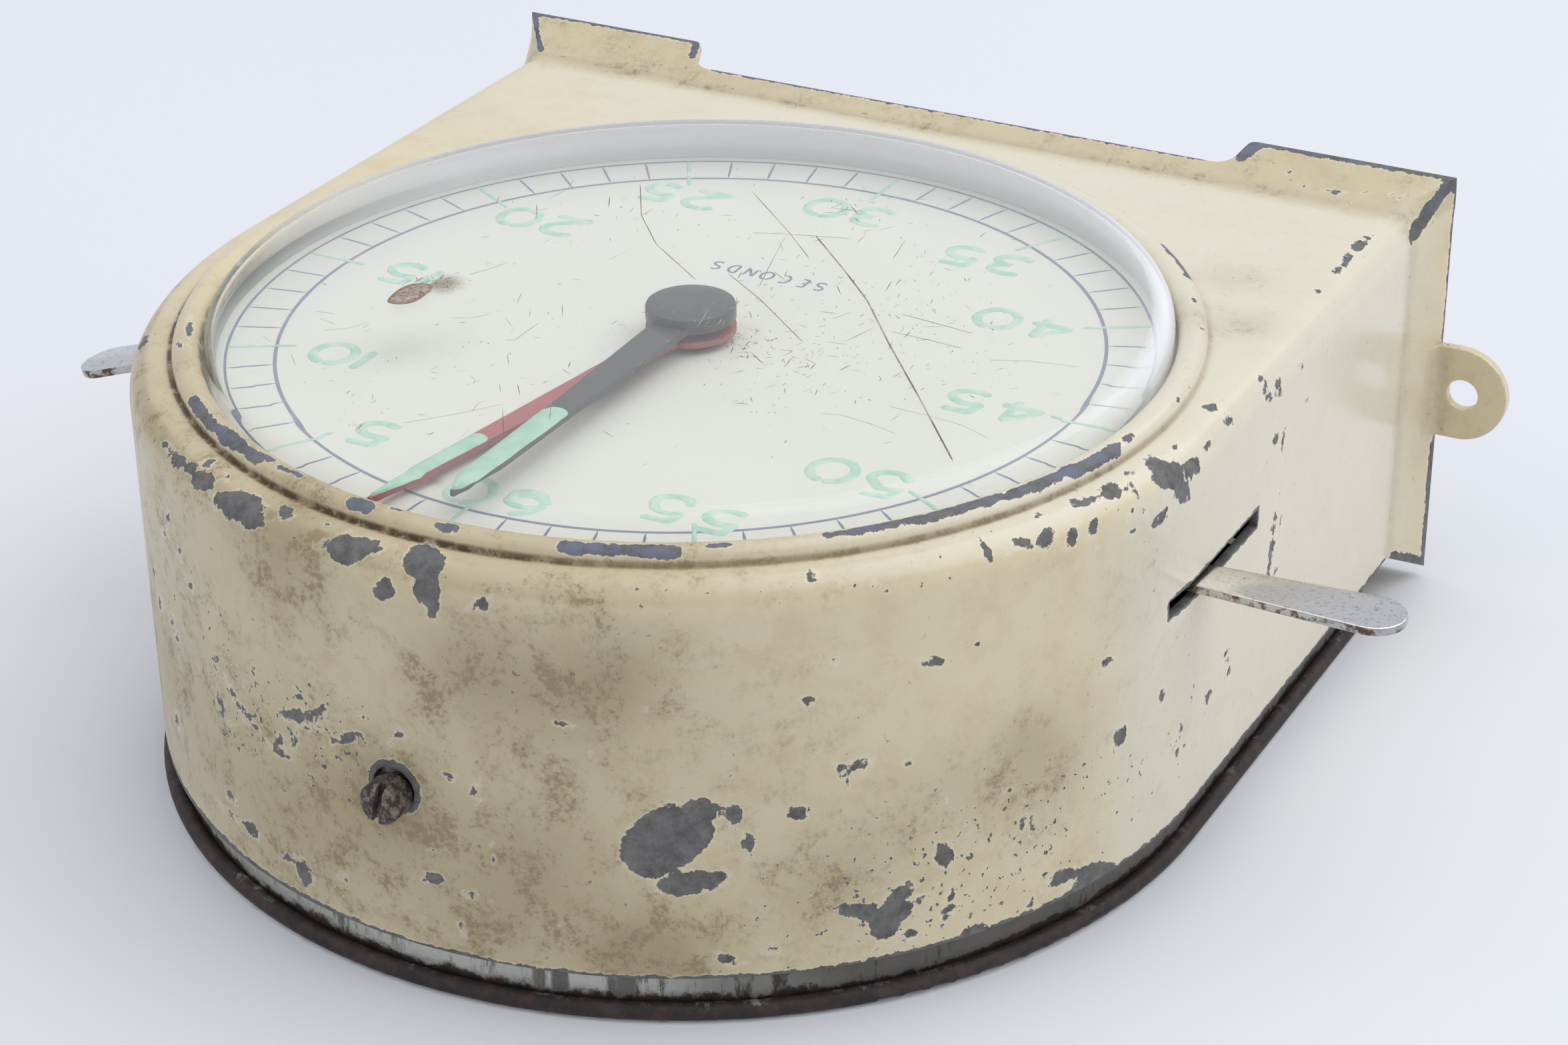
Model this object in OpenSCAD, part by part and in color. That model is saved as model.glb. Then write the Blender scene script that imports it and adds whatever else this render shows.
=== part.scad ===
// Wall and bench timer for a darkroom, lying on its back cover.
// The dial's outward normal is +Z, the 60 mark points to -Y and the flared foot to +Y.
// The origin is the hand axis at the plane that the back cover rests on.

/* [Case] */
// Width of the front face between the dial opening and the case's sides
face_border = 10; // [9.2:0.1:12]
// Length of the straight sides from the hand axis to the foot
side_len = 76; // [75:0.5:84]
// Thickness of the case sheet
sheet = 1.2; // [0.8:0.1:1.4]
// Height of the front face above the resting plane
front_z = 61; // [60:0.5:64]
// Height of the rear edge of the case
rear_z = 6.5; // [5:0.5:7]
// Radius of the shoulder between front face and wall
shoulder_r = 4.5; // [3.5:0.5:5]

/* [Flared foot] */
// Length of the flared foot beyond the straight sides
foot_len = 9.1; // [7:0.1:11]
// Outward flare of each side at the rim
flare_side = 3; // [2:0.5:4]
// Forward flare of the front panel at the rim
flare_front = 3.9; // [2:0.1:5]
// Rearward flare of the back panel at the rim
flare_back = 5; // [3:0.5:5]
// Half width of the cut-out in the front and back panels
cutout_half = 46; // [35:1:52]
// Length of the lip that is left in the cut-out
cutout_lip = 4.1; // [3:0.1:5]
// Fillet at the corners of the cut-out
cutout_r = 3.5; // [2:0.5:4]
// Distance of the ear holes beyond the flared sides
ear_out = 4; // [3.5:0.1:6]
// Height of the ear holes
ear_z = 31.8; // [24:0.2:40]
// Bore of the ear holes
ear_hole_d = 4.8; // [3.6:0.2:6]
// Radius of the round end of each ear
ear_r = 7.2; // [6:0.2:8]
// Thickness of the ears
ear_t = 1.6; // [1.2:0.1:2]

/* [Front ring] */
// Radius of the opening in the front face
opening_r = 65; // [64:0.2:65.4]
// Distance of the raised ring's crest from the opening's edge
bead_out = 2.2; // [2:0.1:2.4]
// Radius of the raised ring's section
bead_wire_r = 2; // [1.8:0.1:2.1]

/* [Back cover] */
// Thickness of the cover panel
cover_t = 1; // [0.8:0.1:1.4]
// Height of the rolled rim
rim_d = 2.4; // [2:0.1:3]
// Height of the band that fits inside the case
band_h = 16; // [14:0.5:18]
// Thickness of the band
band_t = 0.8; // [0.6:0.1:1]
// Gap between band and case
band_gap = 0.3; // [0.2:0.05:0.5]
// Length of the straight sides of the cover
cover_len = 71; // [69:0.5:72]
// Height of the screw in the case wall
screw_z = 28.3; // [26:0.1:30]
// Shank diameter of the case screw
screw_d = 4; // [3:0.1:4.2]
// Head diameter of the case screw
screw_head_d = 6.4; // [6:0.1:8]
// Head height of the case screw
screw_head_h = 3.7; // [2.5:0.1:4]

/* [Dial and glass] */
// Reach of the dial plate under the front face, beyond the opening
dial_lap = 5; // [4.5:0.1:6]
// Radial gap between the clear cover and the opening
glass_gap = 0.2; // [0.1:0.05:0.4]
// Thickness of the dial plate
dial_t = 1; // [0.8:0.1:1.2]
// Thickness of the clear cover's flange
flange_t = 1.4; // [1:0.1:1.6]
// Wall of the clear cover
glass_t = 2; // [1.6:0.1:2.2]
// Height of the clear cover's crown above the front face
glass_rise = 6.2; // [6:0.1:8]
// Height of the clear cover's edge above the front face
glass_edge = 4.6; // [4:0.1:5]
// Radius of the clear cover's edge
glass_edge_r = 3.4; // [3:0.1:4]

/* [Hands] */
// Gap between the black seconds hand's tip and the wall of the clear cover
sec_gap = 4.2; // [3:0.1:9]
// Gap between the red minutes hand's tip and the wall of the clear cover
min_gap = 0.4; // [0.3:0.1:6]
// Length of the luminous paint on the seconds hand
sec_lume = 25; // [18:0.5:28]
// Length of the luminous paint on the minutes hand
min_lume = 20.6; // [14:0.2:22]
// Length of the hands' pointed tips
hand_tip = 8.5; // [6:0.1:10]
// Thickness of a hand
hand_t = 0.8; // [0.6:0.1:0.9]
// Diameter of the boss discs
boss_d = 12.3; // [10:0.1:14]
// Thickness of the luminous paint
lume_t = 0.25; // [0.15:0.05:0.3]
// Where the minutes hand stands, clockwise from 60
min_angle = 9.4; // [0:0.2:40]

/* [Going train] */
// Distance between meshing arbors
centre = 21.6; // [21:0.1:22.4]
// Leaves of each pinion
leaves = 8; // [8:1:10]
// Teeth of the drive wheel and the middle wheel
drive_teeth = 40; // [36:1:44]
// Teeth of the first wheel and the transfer wheel
fine_teeth = 64; // [56:1:70]
// Teeth of the minutes wheel
minute_teeth = 60; // [52:1:66]
// Diameter of the seconds and transfer arbors
arbor_d = 2; // [1.8:0.1:2.1]
// Diameter of the rotor arbor
rotor_arbor_d = 1.5; // [1.2:0.1:1.6]
// Thickness of a wheel
wheel_t = 1.5; // [1.2:0.1:1.6]
// Radial clearance of a running fit
run_gap = 0.03; // [0.02:0.01:0.06]
// Radial clearance of a pressed-on piece
seat_gap = 0.01; // [0.01:0.01:0.02]
// Largest radius of the heart cams
heart_r = 6.4; // [6:0.1:6.6]
// Least radius of the heart cams
heart_low = 3.2; // [3.1:0.1:3.6]

/* [Plates] */
// Thickness of the movement plates
plate_t = 2; // [1.5:0.1:2.2]
// Height of the back plate's rear face
back_plate_z = 22; // [21.6:0.1:22.2]
// Height of the front plate's rear face
front_plate_z = 50; // [49.8:0.1:50.6]
// Half width of the plates
plate_half = 52; // [50:1:53]
// Diameter of the pillars
pillar_d = 6; // [5:0.5:7]

/* [Levers] */
// Thickness of the levers
lever_t = 1.2; // [1:0.1:1.4]
// Height of the levers' middle
lever_z = 40.2; // [40:0.1:40.4]
// Width of a lever at the case wall
lever_w0 = 6.2; // [5:0.1:7]
// Width of a lever at its round end
lever_w1 = 8.7; // [7:0.1:10]
// Reach of the start lever beyond the case wall
start_out = 27; // [21:0.5:31]
// Reach of the reset lever outside the bend
reset_len = 30; // [24:0.5:34]
// Downward bend of the reset lever
reset_bend = 14.8; // [5:0.2:16]
// Whole stroke of the reset lever, which ends with the hammer on both hearts
reset_travel = 14.4; // [14:0.1:14.6]
// Height of the lever slots
slot_h = 2.5; // [2.4:0.1:4]
// Nearer end of the lever slots, towards the 60 mark
slot_y0 = -9.7; // [-12:0.1:-9]
// Farther end of the lever slots, towards the foot
slot_y1 = 18.9; // [18:0.1:24]

/* [Motor] */
// Radius of the motor can
can_r = 22; // [20:0.2:22.4]
// Height of the motor can
can_h = 14; // [12:0.2:14.4]
// Wall of the motor can
can_t = 1; // [0.8:0.1:1.4]
// Radius of the rotor magnet
magnet_r = 9.3; // [8:0.1:9.6]

/* [Hidden] */
$fn = 48;
e = 0.01;
shoulder_n = 10;
case_r = opening_r + face_border;
inner_r = case_r - sheet;
bead_r = opening_r + bead_out;
dial_r = opening_r + dial_lap;
glass_r = opening_r - glass_gap;
sec_len = glass_r - glass_t - sec_gap;
min_len = glass_r - glass_t - min_gap;
ear_x = case_r + flare_side + ear_out;
face_in_z = front_z - sheet;
// The dial lies under the clear cover's flange, which the front face holds down.
dial_z = face_in_z - flange_t;
foot_y = side_len + foot_len;
cover_r = inner_r - band_gap;
strip_y = side_len - 4.7;
// The lug's flat strip stands against the band's curved inside.
lug_y = 0.05 - sqrt(pow(cover_r - band_t, 2) - 36);
plate_y0 = -34;
plate_y1 = 56;
plate_top = front_plate_z + plate_t;
// Arbor places: middle, first, rotor and transfer.
function polar(r, a) = [r * cos(a), r * sin(a)];
mid_dir = 115;
first_dir = 25;
rotor_dir = 140;
transfer_dir = -50;
mid_p = polar(centre, mid_dir);
first_p = mid_p + polar(centre, first_dir);
rotor_p = first_p + polar(centre, rotor_dir);
transfer_p = polar(centre, transfer_dir);
drive_m = 2 * centre / (drive_teeth + leaves);
fine_m = 2 * centre / (fine_teeth + leaves);
minute_m = 2 * centre / (minute_teeth + leaves);
// Wheel heights, each counted from the back plate's front face.
back_top = back_plate_z + plate_t;
drive_z = back_top + 2;
clutch_z = drive_z + wheel_t;
collar_z = clutch_z + 1;
mid_wheel_z = back_top + 6;
first_wheel_z = back_top + 9.5;
sec_pinion_z = back_top + 9;
heart_t = 2;
sec_heart_z = lever_z - lever_t / 2 - 1.1 - heart_t;
min_heart_z = lever_z + lever_t / 2 + 0.2;
minute_wheel_z = front_plate_z - 5;
pipe_or = arbor_d / 2 + 1;
pipe_z0 = lever_z - 0.2;
hand_gap = 0.7;
min_hand_z = dial_z + 1.1;
sec_hand_z = min_hand_z + hand_t + hand_gap + 0.5;
// Each lever's pivot stands in the front plate: the start lever's near its side, the reset
// lever's where the hammer meets the hearts.
start_p = [plate_half - 6, -1];
start_angle = 2.1;
pin_dir = 105;
pin_reach = 14;
reset_p = [-32, 10.6];
reset_out = 188;
reset_out2 = 192.8;
stud_d = 5;
motor_z = 4;
can_top = motor_z + can_h;
pillar_xy = [for (x = [-1, 1], y = [plate_y0 + 6, plate_y1 - 9]) [x * (plate_half - 6), y]];
bracket_y = 35;
bracket_w = 14;
feet_xy = [[12 - plate_half, plate_y0 + 10], [plate_half - 12, plate_y0 + 10],
    [0, plate_y1 - 16]];
// Corners of the switch block and the terminal block
switch_p = start_p + [-16, 27];
terminal_p = [plate_half - 28, plate_y0 + 9];
grommet_p = [-40, 25];

// A 2D arc's points round a centre.
function arc(c, r, a0, a1, n) = [for (i = [0 : n]) c + polar(r, a0 + (a1 - a0) * i / n)];

// Outline of one clock wheel: radial flanks below the pitch circle, pointed arches above it.
function wheel_pts(z, m, half, add, ded) = [for (k = [0 : z - 1])
    let (a = 360 * k / z, p = z * m / 2, t = half * 360 / z)
    each [polar(p - ded * m, a - t * 0.96), polar(p, a - t), polar(p + add * m * 0.62, a - t * 0.6),
        polar(p + add * m, a - t * 0.18), polar(p + add * m, a + t * 0.18),
        polar(p + add * m * 0.62, a + t * 0.6), polar(p, a + t),
        polar(p - ded * m, a + t * 0.96)]];

module wheel(z, m, t, bore_r, arms = 5, hub_r = 3.4) {
    p = z * m / 2;
    root = p - 1.05 * m;
    difference() {
        linear_extrude(t) polygon(wheel_pts(z, m, 0.22, 1.1, 1.05));
        translate([0, 0, -e]) cylinder(r = bore_r, h = t + 2 * e);
        // Crossings between the arms
        translate([0, 0, -e]) linear_extrude(t + 2 * e) difference() {
            circle(r = root - 2);
            circle(r = hub_r);
            for (i = [0 : arms - 1]) rotate(360 * i / arms) translate([0, -1]) square([p, 2]);
        }
    }
}

module pinion(z, m, t, bore_r) {
    difference() {
        linear_extrude(t) polygon(wheel_pts(z, m, 0.165, 0.62, 1.35));
        translate([0, 0, -e]) cylinder(r = bore_r, h = t + 2 * e);
    }
}

module at(p, z) {
    translate([p[0], p[1], z]) children();
}

module disc(d, h) {
    cylinder(d = d, h = h);
}

module ring(r0, r1, h) {
    difference() {
        cylinder(r = r1, h = h);
        translate([0, 0, -e]) cylinder(r = r0, h = h + 2 * e);
    }
}

// Case

// Half revolve on the side of the 60 mark
module half_turn() {
    rotate([0, 0, 180]) rotate_extrude(angle = 180, $fn = 96) children();
}

// Section of the D-shaped box, from the axis to its wall
module wall_section(r, z0, z1, sr) {
    polygon(concat([[0, z0], [r, z0]], arc([r - sr, z1 - sr], sr, 0, 90, shoulder_n), [[0, z1]]));
}

module d_body(r, z0, z1, sr, len) {
    half_turn() wall_section(r, z0, z1, sr);
    rotate([90, 0, 180]) linear_extrude(len) polygon(concat([[-r, z0], [r, z0]],
        arc([r - sr, z1 - sr], sr, 0, 90, shoulder_n),
        [for (i = [shoulder_n : -1 : 0]) let (a = 90 * i / shoulder_n)
            [-r + sr - sr * cos(a), z1 - sr + sr * sin(a)]]));
}

// Ring of points round the foot at one end: arc corners that open into mitred corners
function foot_ring(y, r, z0, z1, sr, open) = let (n = shoulder_n) [
    each [for (i = [0 : n]) let (a = 90 * i / n, q = open ? sr * (1 - i / n) : 0)
        open ? [r + 0.12 * sin(2 * a), y, z1 - q * 1.4]
            : [r - sr + sr * cos(a), y, z1 - sr + sr * sin(a)]],
    each [for (i = [n : -1 : 0]) let (a = 90 * i / n, q = open ? sr * (1 - i / n) : 0)
        open ? [-r - 0.12 * sin(2 * a), y, z1 - q * 1.4]
            : [-r + sr - sr * cos(a), y, z1 - sr + sr * sin(a)]],
    [-r, y, z0], [r, y, z0]];

module foot_loft(in, over) {
    sr = shoulder_r - in;
    y0 = side_len;
    y1 = foot_y + over;
    k = over / foot_len;
    a = foot_ring(y0, case_r - in, rear_z + in, front_z - in, sr, false);
    b = foot_ring(y1, case_r - in + flare_side * (1 + k), rear_z + in - flare_back * (1 + k),
        front_z - in + flare_front * (1 + k), sr, true);
    n = len(a);
    polyhedron(points = concat(a, b), faces = concat(
        [[for (i = [n - 1 : -1 : 0]) i]],
        [[for (i = [0 : n - 1]) n + i]],
        [for (i = [0 : n - 1]) [i, (i + 1) % n, n + i]],
        [for (i = [0 : n - 1]) [(i + 1) % n, n + (i + 1) % n, n + i]]));
}

module cutout() {
    y0 = side_len + cutout_lip;
    translate([0, 0, -20]) linear_extrude(front_z + 40) {
        translate([-cutout_half + cutout_r, y0]) square([2 * (cutout_half - cutout_r), 30]);
        translate([-cutout_half, y0 + cutout_r]) square([2 * cutout_half, 30]);
        for (s = [-1, 1]) translate([s * (cutout_half - cutout_r), y0 + cutout_r])
            circle(r = cutout_r);
    }
}

module ear(s) {
    x0 = case_r + flare_side - sheet * 0.8;
    translate([0, foot_y, ear_z]) rotate([90, 0, 0]) difference() {
        linear_extrude(ear_t) {
            translate([s * (ear_x - 0.5), 0]) circle(r = ear_r);
            translate([s > 0 ? x0 : -ear_x + 0.5, -ear_r]) square([ear_x - 0.5 - x0, 2 * ear_r]);
        }
        translate([s * ear_x, 0, -1]) cylinder(d = ear_hole_d, h = ear_t + 2);
    }
}

module case_shell() color("ivory") {
    difference() {
        union() {
            d_body(case_r, rear_z, front_z, shoulder_r, side_len);
            translate([0, 0, face_in_z]) rotate_extrude($fn = 96) intersection() {
                translate([bead_r, sheet]) circle(r = bead_wire_r);
                square([case_r, 2 * bead_wire_r + sheet]);
            }
        }
        // Hollow inside, open to the rear
        translate([0, 0, -2]) d_body(inner_r, 0, face_in_z + 2, shoulder_r - sheet, side_len + 1);
        translate([0, 0, front_z - 10]) cylinder(r = opening_r, h = 20);
        // Relief under the raised ring
        rotate_extrude($fn = 96) translate([bead_r, front_z]) circle(r = bead_wire_r - sheet);
        translate([0, 0, face_in_z - e]) ring(bead_r - bead_wire_r + sheet,
            bead_r + bead_wire_r - sheet, sheet);
        // Lever slots
        for (s = [-1, 1]) translate([s > 0 ? case_r - 12 : -case_r - 8, slot_y0,
            lever_z - slot_h / 2]) cube([20, slot_y1 - slot_y0, slot_h]);
        // Clearance hole for the case screw
        translate([0, -case_r + 5, screw_z]) rotate([90, 0, 0])
            cylinder(d = screw_d + 0.5, h = 10);
    }
    // Turned-in strip along the rear of the foot end
    translate([-inner_r - e, strip_y, rear_z]) cube([2 * (inner_r + e), side_len - strip_y, sheet]);
    // Flared foot with mitred corners
    difference() {
        foot_loft(0, 0);
        foot_loft(sheet, 0.5);
        cutout();
        // Bend reliefs beside the ears
        for (s = [-1, 1], t = [-1, 1]) translate([s * (case_r + flare_side) - 3,
            foot_y - 2.2, ear_z + t * (ear_r + 0.7) - 0.7]) cube([6, 4, 1.4]);
    }
    for (s = [-1, 1]) ear(s);
}

module foot_plate() color("lightslategray") {
    difference() {
        union() {
            translate([-inner_r + 0.2, side_len - 2, rear_z + sheet])
                cube([2 * inner_r - 0.4, sheet, face_in_z - rear_z - sheet - shoulder_r]);
            // Middle part, up to the front face between the shoulders
            translate([-case_r + shoulder_r + 1.5, side_len - 2, rear_z + sheet])
                cube([2 * (case_r - shoulder_r - 1.5), sheet, face_in_z - rear_z - sheet]);
        }
        translate([grommet_p[0], side_len - 5, grommet_p[1]]) rotate([-90, 0, 0])
            cylinder(r = 5.5, h = 10);
    }
    // Folded tabs that are welded to the walls
    for (s = [-1, 1]) translate([s > 0 ? inner_r - sheet : -inner_r, side_len - 12, 20])
        cube([sheet, 10, 24]);
}

module cord_grommet() color("dimgray") {
    y0 = side_len - 2;
    translate([grommet_p[0], y0 - 1.5, grommet_p[1]]) rotate([-90, 0, 0]) difference() {
        union() {
            cylinder(r = 7, h = 1.5);
            cylinder(r = 5.45, h = 1.5 + sheet);
            translate([0, 0, 1.5 + sheet]) cylinder(r = 7, h = 2);
        }
        translate([0, 0, -1]) cylinder(r = 3.5, h = 10);
    }
}

module cover_outline(r, len) {
    difference() {
        circle(r = r, $fn = 96);
        translate([-r - 1, 0]) square([2 * r + 2, r + 1]);
    }
    translate([-r, 0]) square([2 * r, len]);
}

module back_cover() color("darkkhaki") {
    rim_r = cover_r + rim_d / 2 - 0.3;
    linear_extrude(cover_t) cover_outline(rim_r, cover_len - 0.5);
    // Band that slides into the case
    difference() {
        linear_extrude(band_h) cover_outline(cover_r, cover_len - 1);
        translate([0, 0, -1]) linear_extrude(band_h + 2)
            cover_outline(cover_r - band_t, cover_len - 1 - band_t);
        // Notch that clears the case's turned-in strip
        translate([-cover_r + 8, cover_len - 3, rear_z - 0.3]) cube([2 * cover_r - 16, 4, 20]);
    }
    // Rolled rim
    translate([0, 0, rim_d / 2]) rotate([0, 0, 180]) rotate_extrude(angle = 180, $fn = 96)
        translate([rim_r, 0]) circle(r = rim_d / 2, $fn = 24);
    for (s = [-1, 1]) translate([s * rim_r, 0, rim_d / 2]) rotate([-90, 0, 0])
        cylinder(d = rim_d, h = cover_len - 0.5, $fn = 24);
    translate([-rim_r, cover_len - 0.5, rim_d / 2]) rotate([0, 90, 0])
        cylinder(d = rim_d, h = 2 * rim_r, $fn = 24);
    for (s = [-1, 1]) translate([s * rim_r, cover_len - 0.5, rim_d / 2])
        sphere(d = rim_d, $fn = 24);
    // Tongues that hook over the turned-in strip
    for (s = [-1, 1]) translate([s * 34 - 5, 0, 0]) {
        translate([0, cover_len - 6, cover_t - e]) cube([10, 1.2, rear_z + sheet + 1.3 - cover_t]);
        translate([0, cover_len - 6, rear_z + sheet + 0.3]) cube([10, strip_y - cover_len + 8, 1]);
    }
}

module cover_lug() color("silver") {
    y_low = lug_y;
    y_up = -inner_r + 0.5;
    difference() {
        union() {
            translate([-6, y_low, cover_t]) cube([12, 11, 1.2]);
            translate([-6, y_low, cover_t]) cube([12, 1.4, band_h + 2 - cover_t]);
            translate([-6, y_up, band_h + 0.8]) cube([12, y_low + 1.4 - y_up, 1.2]);
            translate([-6, y_up, band_h + 0.8]) cube([12, 1.4, screw_z + 6 - band_h - 0.8]);
        }
        translate([0, y_up - 1, screw_z]) rotate([-90, 0, 0])
            cylinder(r = screw_d / 2 + seat_gap, h = 4);
        for (s = [-1, 1]) translate([s * 3, y_low + 7.5, 0]) cylinder(r = 1.25 + seat_gap, h = 5);
    }
}

module lug_rivets() color("silver") {
    y_low = lug_y;
    for (s = [-1, 1]) translate([s * 3, y_low + 7.5, cover_t]) {
        cylinder(r = 1.25, h = 1.2);
        translate([0, 0, 1.2]) cylinder(r = 2.1, h = 0.8);
    }
}

module case_screw() color("saddlebrown") {
    translate([0, -case_r, screw_z]) rotate([90, 0, 0]) difference() {
        union() {
            cylinder(d = screw_head_d, h = screw_head_h - 0.5);
            translate([0, 0, screw_head_h - 0.5])
                cylinder(d1 = screw_head_d, d2 = screw_head_d - 1, h = 0.5);
            translate([0, 0, -7]) cylinder(d = screw_d, h = 7 + e);
        }
        rotate([0, 0, 78]) translate([-5, -0.6, screw_head_h - 1.3]) cube([10, 1.2, 3]);
    }
}

// Dial and clear cover

// Crown of a low dome that reaches r at height z1 and h above that in the middle
function crown(r, z1, h, n) = let (big = (r * r + h * h) / (2 * h), a = asin(r / big))
    [for (i = [0 : n]) let (b = a * (1 - i / n)) [big * sin(b), z1 + h - big * (1 - cos(b))]];

module crystal() color("lightgray", 0.35) {
    r = glass_r;
    ze = front_z + glass_edge;
    zt = front_z + glass_rise;
    er = glass_edge_r;
    ir = er - glass_t + 0.4;
    rise = zt - ze;
    rotate_extrude($fn = 96) polygon(concat(
        [[dial_r - 1, dial_z], [dial_r - 1, dial_z + flange_t], [r, dial_z + flange_t]],
        arc([r - er, ze - er], er, 0, 88, 7),
        crown(r - er - 0.5, ze, rise, 6),
        [for (i = [6 : -1 : 0]) crown(r - er - 0.5, ze - glass_t, rise, 6)[i]],
        arc([r - glass_t - ir, ze - glass_t - ir], ir, 88, 0, 5),
        [[r - glass_t, dial_z]]));
}

module dial_plate() color("ivory") {
    difference() {
        translate([0, 0, dial_z - dial_t]) cylinder(r = dial_r, h = dial_t, $fn = 96);
        translate([0, 0, dial_z - 5]) cylinder(d = 9, h = 10);
    }
}

module dial_feet() color("goldenrod") {
    for (p = feet_xy) at(p, plate_top) {
        cylinder(d = 4, h = dial_z - dial_t - plate_top);
        cylinder(d = 7, h = 1);
    }
}

module wall_brackets() color("silver") {
    z0 = front_plate_z - 8;
    for (s = [-1, 1]) {
        translate([s > 0 ? inner_r - sheet : -inner_r, bracket_y - bracket_w / 2, z0])
            cube([sheet, bracket_w, 8]);
        difference() {
            translate([s > 0 ? plate_half : -inner_r, bracket_y - bracket_w / 2,
                front_plate_z - sheet]) cube([inner_r - plate_half, bracket_w, sheet]);
            at([s * (plate_half + 7), bracket_y], z0) cylinder(d = 3.02, h = 12);
        }
    }
    difference() {
        union() {
            intersection() {
                translate([0, 0, z0]) ring(inner_r - sheet, inner_r, 8);
                translate([-8, -case_r, z0]) cube([16, 20, 8]);
            }
            intersection() {
                translate([0, 0, front_plate_z - sheet]) cylinder(r = inner_r - sheet / 2,
                    h = sheet);
                translate([-8, -case_r, z0]) cube([16, case_r + plate_y0 - 11, 10]);
            }
        }
        at([0, plate_y0 - 18], z0) cylinder(d = 3.02, h = 12);
    }
}

module bracket_screws() color("silver") {
    for (p = [[plate_half + 7, bracket_y], [-plate_half - 7, bracket_y], [0, plate_y0 - 18]])
        at(p, front_plate_z - sheet - 1.5) {
            cylinder(d = 3, h = sheet + 1.5 + plate_t);
            translate([0, 0, sheet + 1.5 + plate_t]) difference() {
                cylinder(d = 5.5, h = 1.8);
                translate([-3, -0.4, 1]) cube([6, 0.8, 1]);
            }
        }
}

// Plates of the movement

module plate_shape() {
    x = plate_half - 8;
    translate([-x, plate_y0]) square([2 * x, plate_y1 - plate_y0]);
    translate([-plate_half, plate_y0 + 8])
        square([2 * plate_half, plate_y1 - plate_y0 - 16]);
    for (s = [-1, 1], y = [plate_y0 + 8, plate_y1 - 8]) translate([s * x, y]) circle(r = 8);
}

// Pivot holes: seconds arbor bush or pivot, then the other arbors
module pivots(seconds_r, rotor_r) {
    translate([0, 0, -5]) cylinder(r = seconds_r, h = 20);
    for (p = [mid_p, first_p, transfer_p]) at(p, -5) cylinder(r = 0.75 + run_gap, h = 20);
    at(rotor_p, -5) cylinder(r = rotor_r, h = 20);
}

module front_plate() color("goldenrod") {
    translate([0, 0, front_plate_z]) difference() {
        linear_extrude(plate_t) {
            plate_shape();
            for (s = [-1, 1]) translate([s > 0 ? plate_half - 10 : -plate_half - 12,
                bracket_y - bracket_w / 2]) square([22, bracket_w]);
            translate([-8, plate_y0 - 24]) square([16, 30]);
        }
        pivots(4, 0.55 + run_gap);
        for (p = pillar_xy) at(p, -1) cylinder(d = 3.02, h = 5);
        for (p = [[plate_half + 7, bracket_y], [-plate_half - 7, bracket_y],
            [0, plate_y0 - 18]]) at(p, -1) cylinder(d = 3.02, h = 5);
        for (p = [start_p, reset_p]) at(p, -1) cylinder(r = 1.5 + seat_gap, h = 5);
        for (y = [2, 6]) at(switch_p + [3, y], -1) cylinder(r = 1 + seat_gap, h = 5);
    }
}

module back_plate() color("goldenrod") {
    translate([0, 0, back_plate_z]) difference() {
        linear_extrude(plate_t) plate_shape();
        pivots(0.75 + run_gap, 1.4);
        for (p = pillar_xy) at(p, -1) cylinder(d = 3.02, h = 5);
        for (a = [30 : 120 : 270]) at(rotor_p + polar(can_r - 5, a), -1)
            cylinder(r = 1.25 + seat_gap, h = 5);
        for (s = [-1, 1]) at(terminal_p + [14 + 8 * s, 5], -1)
            cylinder(r = 1.5 + seat_gap, h = 5);
    }
}

module pillars() color("goldenrod") {
    for (p = pillar_xy) at(p, back_top) difference() {
        union() {
            cylinder(d = pillar_d, h = front_plate_z - back_top);
            for (z = [0, front_plate_z - back_top - 1.5]) translate([0, 0, z])
                cylinder(d = pillar_d + 2, h = 1.5);
        }
        for (z = [-1, front_plate_z - back_top - 7]) translate([0, 0, z])
            cylinder(r = 1.25, h = 8);
    }
}

module pillar_screws() color("silver") {
    for (p = pillar_xy, s = [0, 1]) translate([p[0], p[1], s > 0 ? plate_top : back_plate_z])
        rotate([s > 0 ? 0 : 180, 0, 0]) difference() {
            union() {
                cylinder(d = 5.5, h = 1.8);
                translate([0, 0, -plate_t]) cylinder(d = 3, h = plate_t + e);
                translate([0, 0, -plate_t - 4]) cylinder(d = 2.48, h = 4 + e);
            }
            translate([-3, -0.4, 1]) cube([6, 0.8, 1]);
        }
}

module hand_bush() color("goldenrod") {
    at([0, 0], front_plate_z - 1) difference() {
        union() {
            cylinder(r = 5, h = 1);
            cylinder(r = 4 - seat_gap, h = plate_t + 1 + 1);
        }
        translate([0, 0, -1]) cylinder(r = pipe_or + run_gap, h = 8);
    }
}

// Seconds line

// Arbor with thinner pivots at its ends
module arbor(d, z0, z1, pivot_r, low, high) {
    translate([0, 0, z0]) cylinder(d = d, h = z1 - z0);
    translate([0, 0, z0 - low]) cylinder(r = pivot_r, h = low + e);
    translate([0, 0, z1 - e]) cylinder(r = pivot_r, h = high + e);
}

module seconds_arbor() color("silver") {
    arbor(arbor_d, back_top + 0.3, sec_hand_z + hand_t + 0.4, 0.75, plate_t + 0.6, 0.4);
}

module drive_wheel() color("goldenrod") {
    at([0, 0], drive_z) rotate(mid_dir) wheel(drive_teeth, drive_m, wheel_t,
        arbor_d / 2 + run_gap);
}

module clutch_spring() color("silver") {
    at([0, 0], clutch_z) difference() {
        union() {
            cylinder(r = 2.6, h = 1);
            for (a = [0 : 120 : 240]) rotate(a) translate([1.5, -1, 0]) cube([5, 2, 0.4]);
        }
        translate([0, 0, -1]) cylinder(r = arbor_d / 2 + seat_gap, h = 4);
    }
}

module clutch_collar() color("goldenrod") {
    at([0, 0], collar_z) ring(arbor_d / 2 + seat_gap, 3, 1);
}

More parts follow.
